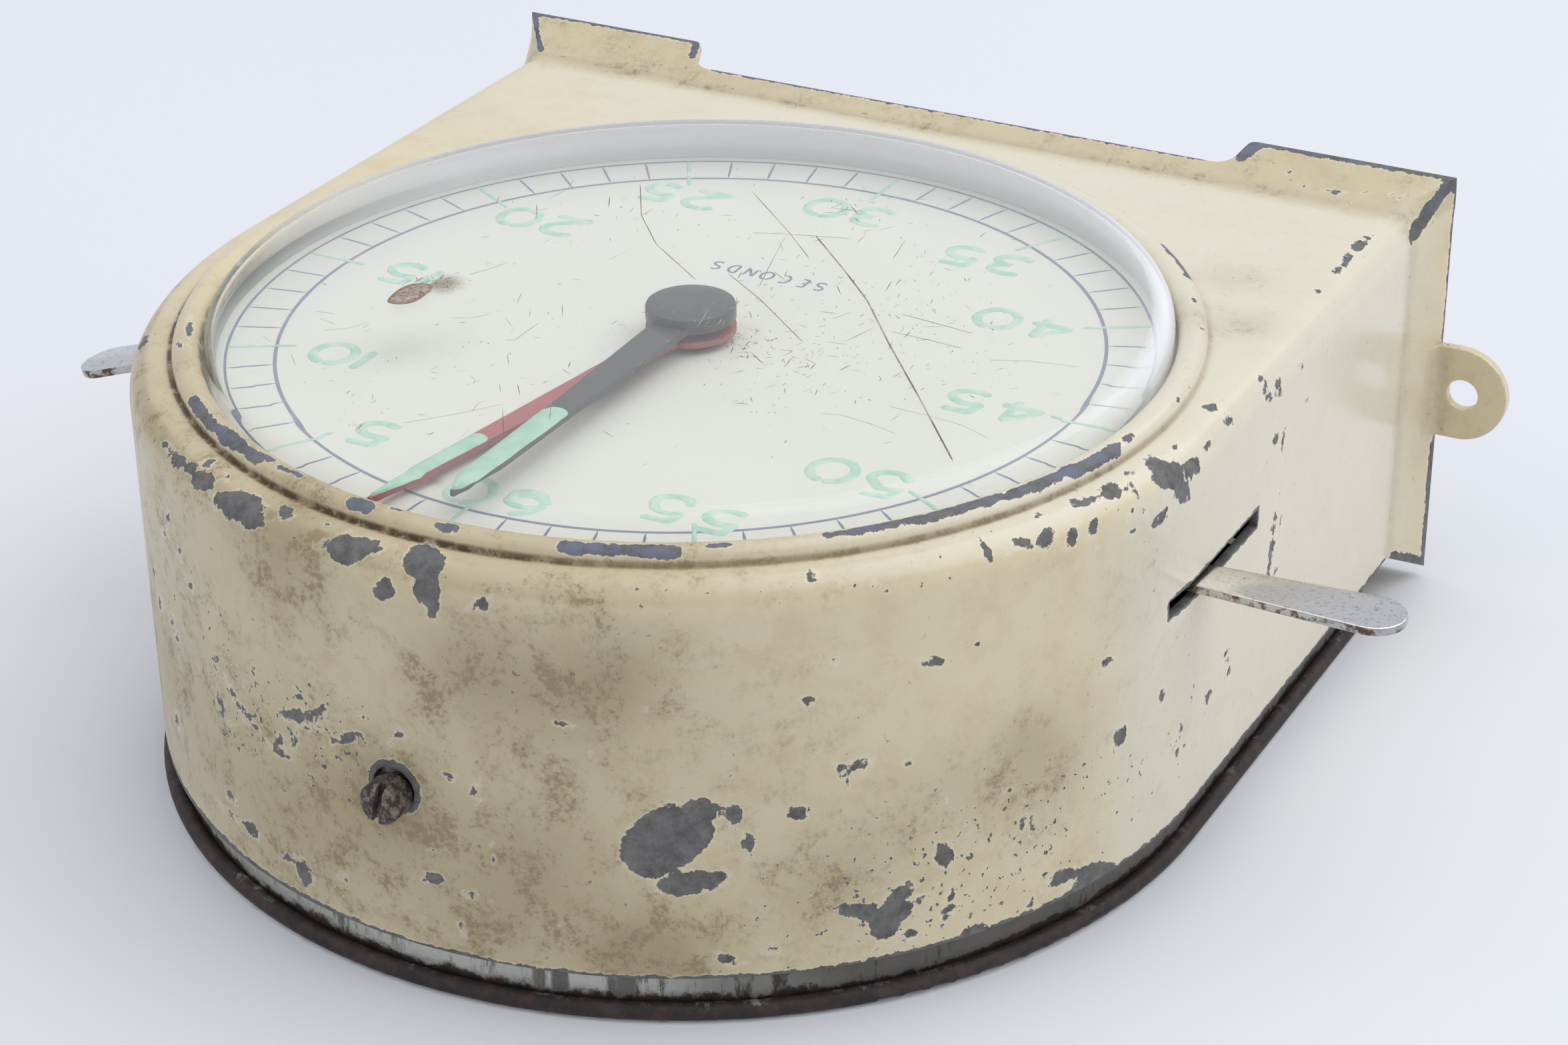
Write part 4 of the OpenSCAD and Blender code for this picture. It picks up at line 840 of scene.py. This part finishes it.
def spokes(count):
    """Directions round a circle."""
    way = np.linspace(0, 2 * math.pi, count + 1)[:-1]
    return joined(np.cos(way), np.sin(way))


def riser_sheen(points, normals):
    """Share of painted reflection: pale lavender along the far half of the rim."""
    r = np.hypot(points[:, 0], points[:, 1])
    return {"painted_sheen": ramp(r, 61.2, 63.6) * ramp(points[:, 1], -15, 30)}


profile = np.concatenate([[(flange_radius - 0.2, flange_low), (flange_radius, flange_low + 0.2),
    (flange_radius, flange_top - 0.2), (flange_radius - 0.2, flange_top),
    (riser_radius + 0.4, flange_top), (riser_radius, flange_top + 0.4)],
    crown(riser_radius, cover_round, cover_edge, 22),
    crown(inner_radius, cover_round - cover_wall, cover_edge - cover_wall, 20)[::-1],
    [(inner_radius, flange_low + 0.3), (inner_radius + 0.2, flange_low),
    (flange_radius - 0.2, flange_low)]])
clear, shader, place = new_finish("clear_plastic", 0.02)
painted_sheen = shade(place, "painted_sheen")
rubs = calc("MAXIMUM", step(grain(stretched(place, (1, 6, 1)), 160, 5, 0.7), 0.62, 0.70),
    step(grain(stretched(place, (7, 1, 1)), 130, 5, 0.7), 0.63, 0.70))
# Painted reflection: where painted_sheen rises, the plastic is paler lavender and less clear.
give(shader, Base_Color=tint(painted_sheen, worn_clear, (0.95, 0.955, 0.99)), IOR=1.04, Coat_Weight=0.4,
    Coat_IOR=1.49, Coat_Roughness=0.04, Roughness=linear(rubs, 0.16, 0.03),
    Transmission_Weight=linear(painted_sheen, -0.82, 0.955))
relief(shader, grain(place, 30, 2), 0.00004)
tree = clear.node_tree
window_pane = node(tree, "BsdfTransparent", {"Color": worn_clear}).outputs[0]
shadow = node(tree, "LightPath").outputs["Is Shadow Ray"]
mixed = node(tree, "MixShader", {0: shadow, 1: shader.outputs[0], 2: window_pane}).outputs[0]
give(tree.nodes["Material Output"], Surface=mixed)
clear_cover = surface("clear_cover", [skin(sweep(*profile.T, spokes(144)), True)], "case",
    clear, crease=50, shades=riser_sheen)
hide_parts("crystal")


def run_of(points):
    """Distance along a line at each of its points."""
    return np.append(0, np.cumsum(np.linalg.norm(np.diff(points, axis=0), axis=1)))


def ribbon(path, width, rise, lift):
    """Grid of a low rounded bead along a path of points: its half width and height shrink at both
    ends as a circle does, and its section is half an ellipse across the path."""
    way = unit(np.gradient(path[:, :2], axis=0))
    run = run_of(path[:, :2])
    half = width / 2
    shrink = 1 - np.minimum(run, run[-1] - run) / half
    swell = np.sqrt(np.clip(1 - np.clip(shrink, 0, 1) ** 2, 0.0009, 1))
    across = np.linspace(-1, 1, 7)
    reach = (half * swell)[:, None] * across
    return joined(path[:, None, 0] - way[:, None, 1] * reach,
        path[:, None, 1] + way[:, None, 0] * reach,
        path[:, None, 2] + lift + rise * swell[:, None] * np.sqrt(1 - across ** 2))


def resample(points, gap):
    """Points at even distances along a line of corners."""
    points = np.asarray(points, float)
    run = run_of(points)
    at = np.linspace(0, run[-1], max(4, int(run[-1] / gap) + 1))
    return joined(*[np.interp(at, run, axis) for axis in points.T])


def beads(paths, width, rise, lift=0.0):
    """Ribbons and their flat undersides, closed all round."""
    parts = []
    for path in paths:
        grid, quads = skin(ribbon(path, width, rise, lift))
        under = grid.copy()
        under[..., 2] = np.minimum(under[..., 2], grid[:, :1, 2])
        parts += [(grid, quads[:, ::-1]), (under, quads)]
    return parts


def sight(pixels):
    """Directions from the camera through photo pixels."""
    lean = (np.asarray(pixels, float) - photo_middle) * (1, -1) / photo_focal
    return raised(lean, -1) @ camera_axes.T


def down_to(way, level):
    """Places where sight lines meet a level, or a level each."""
    return 1000 * camera_at + way * ((level - 1000 * camera_at[2]) / way[:, 2])[:, None]


def on_cover(pixels):
    """Places on the clear cover's crown that the photograph shows at these pixels."""
    way = sight(pixels)
    found = down_to(way, cover_edge)
    for _ in range(3):
        found = down_to(way, dome(np.hypot(found[:, 0], found[:, 1])))
    return found


# Scratches in the photograph's pixels, the widest first. Clusters of flecks follow: middle, spread,
# count and length.
scratches_seen = {0.24: [[(1223, 353), (1266, 405), (1301, 451), (1334, 517), (1379, 597),
        (1430, 693)]],
    0.13: [[(1127, 286), (1184, 349), (1214, 388)], [(1127, 349), (1192, 352), (1277, 358)],
        [(960, 275), (962, 323), (984, 366), (1045, 421)],
        [(1092, 410), (1140, 449), (1179, 488), (1205, 514)],
        [(1351, 471), (1400, 484), (1461, 501)], [(1335, 497), (1392, 510), (1444, 523)],
        [(1339, 389), (1358, 360)], [(1327, 439), (1338, 421)], [(1345, 448), (1351, 439)],
        [(547, 491), (554, 485)], [(749, 575), (751, 590)], [(776, 575), (780, 594)],
        [(761, 530), (763, 548)], [(754, 612), (755, 650)], [(1223, 594), (1226, 583)],
        [(1397, 464), (1404, 468)]],
    0.08: [[(1246, 479), (1279, 468)], [(1138, 431), (1162, 384), (1179, 353)],
        [(1330, 609), (1394, 624), (1443, 638), (1483, 658)],
        [(1230, 620), (1263, 623), (1309, 637), (1345, 652)],
        [(1482, 540), (1547, 542), (1620, 551)], [(1321, 667), (1342, 661)],
        [(473, 467), (503, 471)], [(477, 477), (506, 488)], [(482, 496), (526, 492), (553, 483)],
        [(677, 477), (709, 477), (739, 470)], [(701, 413), (733, 404), (763, 393)],
        [(769, 513), (790, 497), (811, 483)], [(827, 600), (824, 632)],
        [(706, 620), (716, 606), (730, 600)], [(602, 635), (640, 629), (691, 620), (760, 605)],
        [(558, 590), (559, 600)], [(843, 455), (844, 476)], [(757, 476), (770, 491)]]}
clusters_seen = [((502, 648), (20, 8), 90, 2), ((565, 680), (11, 5), 22, 3),
    ((1116, 510), (18, 14), 60, 5), ((1240, 500), (90, 55), 150, 8), ((1290, 320), (50, 18), 40, 8),
    ((1100, 420), (70, 70), 60, 7), ((820, 520), (190, 90), 90, 6), ((1450, 520), (70, 60), 60, 5),
    ((655, 426), (20, 6), 120, 2), ((1180, 560), (60, 40), 70, 6), ((600, 600), (90, 60), 50, 7),
    ((1380, 420), (60, 50), 50, 7), ((900, 330), (90, 30), 40, 8)]
scratch_rise = 0.012
scratch_lift = 0.004
rng = np.random.default_rng(7)
scratch_parts = []
for width, scratches_of_width in scratches_seen.items():
    for corners in scratches_of_width:
        path = on_cover(resample(corners, 6))
        scratch_parts += beads([path], width, scratch_rise, scratch_lift)
for middle, spread_out, count, length in clusters_seen:
    for _ in range(count):
        at = middle + rng.normal(0, 1, 2) * spread_out
        reach = rng.exponential(0.6) * length + 0.8
        aim = rng.normal(-0.7, 0.8)
        flat = at + np.linspace(-reach, reach, 4)[:, None] * (math.cos(aim), math.sin(aim) * 0.6)
        path = on_cover(flat)
        if np.hypot(path[:, 0], path[:, 1]).max() < 58:
            scratch_parts += beads([path], rng.uniform(0.07, 0.16), scratch_rise, scratch_lift)
surface("cover_scratches", scratch_parts, "case", mottled("dirty_scratch",
    (0.17, 0.14, 0.085), (0.47, 0.44, 0.35), (140, 5, 0.7), (0.40, 0.66), roughness=0.6))

# The melted place: its middle, half width and half heights in the photograph's pixels, and how it
# leans. The scorched rim is a little lower than the hollow.
pit_seen = (615, 441)
pit_half = 36
pit_high = 13.5
scorch_high = 12
pit_lean = math.radians(-19)
pit_axes = np.array([[math.cos(pit_lean), math.sin(pit_lean)],
    [-math.sin(pit_lean), math.cos(pit_lean)]])


def melt_rim(points, normals):
    """Rises to 1 over the outer part of the melted place."""
    away = (in_photo(points)[0] - pit_seen) @ pit_axes.T
    reach = np.hypot(away[:, 0] / pit_half, away[:, 1] / scorch_high)
    return {"rim": ramp(reach, 0.72, 0.97)}


pit_rings = np.linspace(1, 0.02, 9)
pit_x, pit_y = spokes(48).T
pit_edge = joined(pit_half * pit_x, pit_high * pit_y * (1 - 0.35 * pit_x ** 2)) @ pit_axes
pit_flat = pit_rings[:, None, None] * pit_edge + pit_seen
pit_grid = on_cover(pit_flat.reshape(-1, 2)).reshape(len(pit_rings), -1, 3)
pit_grid[..., 2] += 0.02 + 0.16 * np.sin(np.pi * pit_rings)[:, None] ** 2
burnt, shader, place = new_finish("burnt_plastic", 0.75)
melted = tint(step(grain(place, 1400, 8, 0.8), 0.40, 0.66), (0.50, 0.43, 0.37),
    (0.14, 0.10, 0.07))
give(shader, Base_Color=tint(times(shade(place, "rim"), 0.75), melted, (0.24, 0.13, 0.06)))
relief(shader, grain(place, 900, 4, 0.65), 0.0003)
surface("burn_mark", [skin(pit_grid, True)], "case", burnt, shades=melt_rim)

# Dial: a disc of ivory-painted sheet. The seconds scale is printed in blue-grey: two rings and a
# tick for each second. The bars at every fifth second and the numerals are brushed on in pale
# green luminous paint, which stands proud of the disc.
dial_level = 58.4
inner_ring = 55.76
outer_ring = 62.4
bar_start = 53.0
ring_widths = {inner_ring: 0.5, outer_ring: 0.4}
tick_width = 0.38
bar_width = 0.62
print_rise = 0.03
figure_height = 6.0
figure_brush = 1.42
pit_shadow_seen = (662, 428)


def distance(place, centre):
    """Distance in metres from a point given in mm."""
    return node(place.id_data, "VectorMath", {0: place, 1: tuple(np.array(centre) / 1000)},
        operation="DISTANCE").outputs["Value"]


ivory, shader, place = new_finish("dial_paint", 0.42)
x, y, _ = axes_of(place)
paint = tint(grain(place, 35, 3), (0.61, 0.61, 0.575), (0.665, 0.665, 0.625))
paint = tint(times(step(grain(place, 260, 5, 0.7), 0.62, 0.8), 0.5), paint, (0.52, 0.47, 0.36))
# Painted shade: the dial darkens towards its rim on the far left, as under the clear cover's riser.
riser_shade = times(step(distance(place, (0, 0, dial_level)), 0.046, 0.062),
    step(calc("SUBTRACT", y, x), 0.0, 0.06))
paint = tint(times(riser_shade, 0.75), paint, (0.53, 0.535, 0.51))
# Painted shadow of the melted place: a soft dark patch on the dial beside it.
pit_shadow = down_to(sight([pit_shadow_seen]), dial_level)[0]
pit_shadow = linear(grain(place, 500, 4, 0.7), 0.003, distance(place, pit_shadow))
paint = tint(step(pit_shadow, 0.0060, 0.0022), paint, (0.27, 0.235, 0.18))
give(shader, Base_Color=paint)
relief(shader, grain(place, 1200, 3), 0.00002)
dress(["dial_plate"], ivory)


def face_up(clock, r):
    """Place on the dial at a number of seconds from the 60 mark and a radius."""
    a = np.radians(np.asarray(clock, float) * 6)
    return joined(-np.sin(a) * r, -np.cos(a) * r)


def mark(second, start, gap):
    """Path on the dial from a radius out to the outer ring."""
    ends = face_up(second, np.array([start, outer_ring]))
    return raised(resample(ends, gap), dial_level)


print_parts = []
for r, width in ring_widths.items():
    edges = np.array([[r - width / 2], [r + width / 2]])
    ring = face_up(np.linspace(0, 60, 241)[:-1], edges)
    grid, quads = skin(raised(ring, dial_level + print_rise), True)
    print_parts.append((grid, quads[:, ::-1]))
for second in range(60):
    if second % 5:
        print_parts += beads([mark(second, inner_ring, 1.2)], tick_width, print_rise)
surface("dial_print", print_parts, "case", mottled("dial_ink", (0.10, 0.13, 0.20),
    (0.25, 0.29, 0.38), (300, 4)))


def curve(cx, cy, rx, ry, start, end, count=14):
    """Arc of an ellipse in a sign's box, angles in degrees."""
    a = np.radians(np.linspace(start, end, count))
    return joined(cx + rx * np.cos(a), cy + ry * np.sin(a))


# Each sign's strokes in a box one unit high, as the brush or the press makes them.
strokes = {
    "0": [[curve(0.47, 0.5, 0.47, 0.5, 90, 450, 33)]],
    "1": [[[(0, 0), (0, 1)]]],
    "2": [[curve(0.45, 0.70, 0.42, 0.30, 160, -20), [(0.70, 0.42), (0.02, 0), (0.92, 0)]]],
    "3": [[curve(0.42, 0.75, 0.40, 0.25, 150, -90), curve(0.42, 0.26, 0.44, 0.26, 90, -150)]],
    "4": [[[(0.62, 0), (0.62, 1), (0, 0.32), (0.92, 0.32)]]],
    "5": [[[(0.84, 1), (0.20, 1), (0.10, 0.58)], curve(0.42, 0.32, 0.44, 0.32, 112, -140)]],
    "6": [[curve(0.66, 0.42, 0.62, 0.58, 105, 180), curve(0.45, 0.30, 0.42, 0.30, 180, -180, 25)]],
    "S": [[curve(0.28, 0.75, 0.25, 0.25, 30, 270, 9), curve(0.28, 0.25, 0.27, 0.25, 90, -150, 9)]],
    "E": [[[(0.5, 1), (0.06, 1), (0.06, 0), (0.5, 0)]], [[(0.06, 0.52), (0.42, 0.52)]]],
    "C": [[curve(0.36, 0.5, 0.34, 0.5, 50, 310)]],
    "O": [[curve(0.36, 0.5, 0.36, 0.5, 90, 450, 25)]],
    "N": [[[(0.05, 0), (0.05, 1), (0.58, 0), (0.58, 1)]]],
    "D": [[[(0.06, 0), (0.06, 1)], curve(0.2, 0.5, 0.38, 0.5, 90, -90, 11), [(0.06, 0)]]]}


def lettering(text, centre, height, gap, wide=0.92):
    """Paths of a word that reads from the foot's side of the table: right is -X and up is -Y."""
    paths, left = [], 0.0
    for sign in text:
        for stroke in strokes[sign]:
            paths.append(np.concatenate(stroke) * height + (left, 0))
        left += height * (0.0 if sign == "1" else wide) + gap
    middle = ((left - gap) / 2, height / 2)
    return [raised(resample(centre - (path - middle), 0.3), dial_level) for path in paths]


def brushed(name, pale, deep):
    """Luminous paint: pale in the middle of a stroke, greener where it thins, with tiny lumps."""
    return mottled(name, pale, deep, (520, 4), (0.35, 0.65), roughness=0.6, bump=(1500, 3),
        depth=0.00006)


mint = brushed("luminous_paint", (0.47, 0.62, 0.54), (0.33, 0.53, 0.44))
number_parts = []
for text, centre in (("60", (1.6, -51.4)), ("5", (-21.8, -43.8)), ("10", (-39, -26.3)),
        ("15", (-45.6, 0)), ("20", (-38.8, 24.4)), ("25", (-25.4, 42)), ("30", (-0.6, 47.6)),
        ("35", (24.4, 41)), ("40", (38, 24)), ("45", (45.2, -0.8)), ("50", (39, -26.3)),
        ("55", (25.6, -44.2))):
    number_parts += beads(lettering(text, centre, figure_height, 1.85), figure_brush, 0.16)
for second in range(0, 60, 5):
    number_parts += beads([mark(second, bar_start, 0.4)], bar_width, 0.10, 0.02)
surface("luminous_numerals", number_parts, "case", mint)
unit_ink = mottled("unit_ink", (0.06, 0.075, 0.11), (0.28, 0.31, 0.38), (700, 3))
surface("unit_word", beads(lettering("SECONDS", (-0.6, 22.4), 2.5, 0.85, 0.75), 0.42, print_rise),
    "case", unit_ink)

# Hands: stamped sheet, the seconds hand lacquered black and the minutes hand red, both slotted
# with luminous paint over their outer half. A thick black disc hides the arbor's end.
minutes_turn = 9.4
seconds_top = 62.3
minutes_top = 60.3
cap_radius = 6.15


def lacquer(name, colour, worn_colour):
    """Thin brushed lacquer with dust and rubbed places."""
    made, shader, place = new_finish(name, 0.34)
    give(shader, Base_Color=tint(step(grain(place, 500, 5, 0.7), 0.55, 0.75), colour, worn_colour),
        Roughness=linear(grain(place, 300, 3), 0.3, 0.2))
    relief(shader, grain(place, 900, 3), 0.00004)
    return made


black_lacquer = lacquer("black_lacquer", (0.05, 0.052, 0.058), (0.11, 0.112, 0.12))
dress(["seconds_hand", "seconds_arbor"], black_lacquer)
dress(["minutes_hand"], lacquer("red_lacquer", (0.33, 0.075, 0.085), (0.42, 0.15, 0.155)))


def painted_strip(first, last, half_at, half_tip, taper, angle, level, seed):
    """Path and widths of the paint on a hand, wavering a little, turned to the hand's angle. It
    narrows to its tip over a share taper of its length."""
    at = np.linspace(first, last, 70)
    draw = np.random.default_rng(seed)
    waver = np.convolve(draw.normal(0, 0.22, 82), np.hanning(13) / 6.0, "valid")
    share = (at - first) / (last - first)
    body = half_at + (half_tip - half_at) * share / (1 - taper)
    tip = half_tip * np.clip((1 - share) / taper, 0.06, 1) ** 0.7
    width = 2 * np.where(share < 1 - taper, body, tip) + 0.5 * waver
    flat = face_up(angle / 6, at) + 0.3 * waver[:, None] * (1, 0.2)
    return raised(flat, level), np.clip(width, 0.25, None)


hand_mint = brushed("hand_luminous_paint", (0.37, 0.56, 0.47), (0.30, 0.50, 0.41))
strips = {"seconds": dict(first=33.4, last=58.3, half_at=1.90, half_tip=1.60, taper=0.12,
        angle=0.0, level=seconds_top, seed=3),
    "minutes": dict(first=41.5, last=62.2, half_at=1.42, half_tip=1.26, taper=0.36,
        angle=minutes_turn, level=minutes_top, seed=5)}
for body, sizes in strips.items():
    path, width = painted_strip(**sizes)
    made = surface(body + "_paint", beads([path], width, 0.42), body, hand_mint)
    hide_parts(body + "_lume")

cap_r = np.array([cap_radius, cap_radius, 6.0, 5.4, 4.2, 2.6, 1.2, 0.01])
cap_z = np.array([0, 0.75, 1.12, 1.36, 1.46, 1.50, 1.5, 1.5]) + seconds_top
cap_base = sweep(np.array([0.01, cap_radius]), np.full(2, seconds_top), spokes(48))
hand_cap = surface("hand_cap_disc", [skin(sweep(cap_r, cap_z, spokes(48)), True),
    skin(cap_base, True)], "seconds", black_lacquer)
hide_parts("hand_cap")

# Levers: two blanked strips of chromed steel, rounded at the end that the thumb meets. The start
# lever is straight, the reset lever is bent down. Rust has come through the chrome at the edges.


def softened(name, source, body, finish, width):
    """A copy of a CAD node, its triangles joined and its flat faces made whole, with its sharp
    edges rounded by width."""
    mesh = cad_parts[source].data.copy()
    mesh.name = name
    mesh.materials.clear()
    work = bmesh.new()
    work.from_mesh(mesh)
    bmesh.ops.remove_doubles(work, verts=work.verts, dist=1e-6)
    bmesh.ops.dissolve_limit(work, angle_limit=math.radians(1), verts=work.verts,
        edges=work.edges)
    work.to_mesh(mesh)
    work.free()
    made = settle(put(name, mesh), finish, body, width, segments=3, angle=35.0, crease=40.0)
    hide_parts(source)
    return made


def plating(name):
    """Nickel-chrome plate, scuffed along, with rust spots that thicken at the thin edge, whose side
    faces are also darker as painted shade. Towards the root it turns beige, a painted reflection of
    the cream wall."""
    made, shader, place = new_finish(name, 0.22, 1.0)
    facing = axes_of(node(made.node_tree, "NewGeometry").outputs["Normal"])[2]
    side_shade_and_rust = step(calc("ABSOLUTE", facing), 0.75, 0.3)
    edge = times(side_shade_and_rust, step(grain(place, 350, 6, 0.75), 0.50, 0.60))
    rust = step(grain(place, 620, 6, 0.7), 0.66, 0.71)
    share = calc("MAXIMUM", times(rust, 0.8), edge)
    bright = tint(grain(place, 90, 4), (0.68, 0.68, 0.68), (0.84, 0.85, 0.88))
    dull = step(grain(place, 1500, 6, 0.75), 0.50, 0.66)
    bright = tint(times(dull, 0.7), bright, (0.27, 0.255, 0.235))
    # Painted shade: the side faces are darker than the flat faces.
    bright = tint(times(side_shade_and_rust, 0.6), bright, (0.30, 0.30, 0.29))
    # Painted reflection of the cream wall: beige towards the root of each lever.
    wall_reflection = step(calc("ABSOLUTE", axes_of(place)[0]), 0.100, 0.084)
    bright = tint(times(wall_reflection, 0.5), bright, (0.66, 0.60, 0.47))
    brown = tint(grain(place, 1500, 3), (0.07, 0.04, 0.028), (0.20, 0.10, 0.06))
    scuff = grain(stretched(place, (0.3, 3, 1)), 900, 4, 0.6)
    give(shader, Base_Color=tint(share, bright, brown), Metallic=linear(share, -0.85, 1.0),
        Roughness=calc("MAXIMUM", linear(scuff, 0.16, 0.10), times(share, 0.75)))
    relief(shader, plus(times(share, grain(place, 1600, 3)), times(scuff, 0.03)), 0.00006)
    return made


chrome = plating("worn_chrome")
for which in ("start", "reset"):
    softened(which + "_strip", which + "_lever", which, chrome, 0.22)

# Case screw: a slotted cheese head that has rusted brown. It holds the back cover's lug. Its head
# is worn a little smaller than its pattern, so that the hole's dark edge shows above it.
head_worn = 0.88
rusted = mottled("rusted_steel", (0.05, 0.038, 0.033), (0.27, 0.22, 0.19), (900, 6, 0.7),
    (0.42, 0.64), roughness=0.5, metallic=0.5, bump=(1300, 5, 0.7), depth=0.0002)
screw_head = softened("screw_head", "case_screw", "case", rusted, 0.3)
head_at = read(screw_head.data.vertices, "co")
outside = head_at[:, 1] < -case_radius / 1000
head_middle = np.array([0, screw_level / 1000])
head_at[outside, ::2] = blend(head_middle, head_at[outside, ::2], head_worn)
move_points(screw_head.data, head_at)

# Movement: brass plates, pillars and wheels, blued and bright steel arbors, cams and springs, an
# induction motor with its coil, and moulded insulation. None of it shows until the case is opened.


def turned_metal(name, dark, light, roughness, stretch=(1, 1, 1)):
    """Bare metal with fine tool marks and a little tarnish."""
    made, shader, place = new_finish(name, roughness, 1.0)
    marks = grain(stretched(place, stretch), 1500, 3)
    give(shader, Base_Color=tint(step(grain(place, 120, 5, 0.6), 0.35, 0.7), light, dark),
        Roughness=linear(marks, 0.25, roughness - 0.1))
    relief(shader, marks, 0.00002)
    return made


def moulding(name, base, swirl, roughness, depth=0.00003):
    """Moulded or pressed material with a faint swirl."""
    return mottled(name, base, swirl, (160, 5, 0.6, 1.5), (0.35, 0.7), roughness=roughness,
        bump=(900, 4), depth=depth)


dress(["front_plate", "back_plate", "pillars", "hand_bush", "dial_feet", "drive_wheel",
    "clutch_collar", "minutes_pipe", "minutes_wheel", "transfer_wheel", "middle_wheel",
    "first_wheel", "motor_posts", "switch_blades", "terminal_screws"],
    turned_metal("movement_brass", (0.36, 0.24, 0.09), (0.62, 0.45, 0.19), 0.34, (1, 8, 1)))
dress(["wall_brackets", "bracket_screws", "pillar_screws", "clutch_spring", "seconds_pinion",
    "seconds_heart", "minutes_heart", "transfer_arbor", "transfer_pinion", "first_arbor",
    "first_pinion", "middle_arbor", "middle_pinion", "rotor_arbor", "rotor_pinion",
    "start_stud", "reset_stud", "reset_hammer", "reset_spring"],
    turned_metal("movement_steel", (0.28, 0.28, 0.30), (0.52, 0.53, 0.55), 0.3, (1, 1, 6)))
dress(["rotor_magnet"], turned_metal("magnet_steel", (0.09, 0.09, 0.10), (0.17, 0.17, 0.18), 0.5))
dress(["switch_block", "terminal_block"], moulding("brown_bakelite", (0.075, 0.030, 0.015),
    (0.15, 0.065, 0.03), 0.28))
dress(["coil_bobbin", "start_pin"], moulding("red_fibre", (0.30, 0.13, 0.07),
    (0.38, 0.19, 0.11), 0.65, 0.00008))
dress(["cord_grommet"], moulding("grommet_rubber", (0.03, 0.03, 0.03), (0.06, 0.058, 0.055),
    0.7, 0.00006))
winding, shader, place = new_finish("copper_winding", 0.35, 0.8)
coils = node(winding.node_tree, "TexWave", {"Vector": place, "Scale": 900.0, "Distortion": 0.6,
    "Detail": 1.0}, wave_type="BANDS", bands_direction="Z").outputs["Fac"]
give(shader, Base_Color=tint(coils, (0.22, 0.065, 0.03), (0.55, 0.21, 0.10)))
relief(shader, coils, 0.00015)
dress(["coil_winding"], winding)
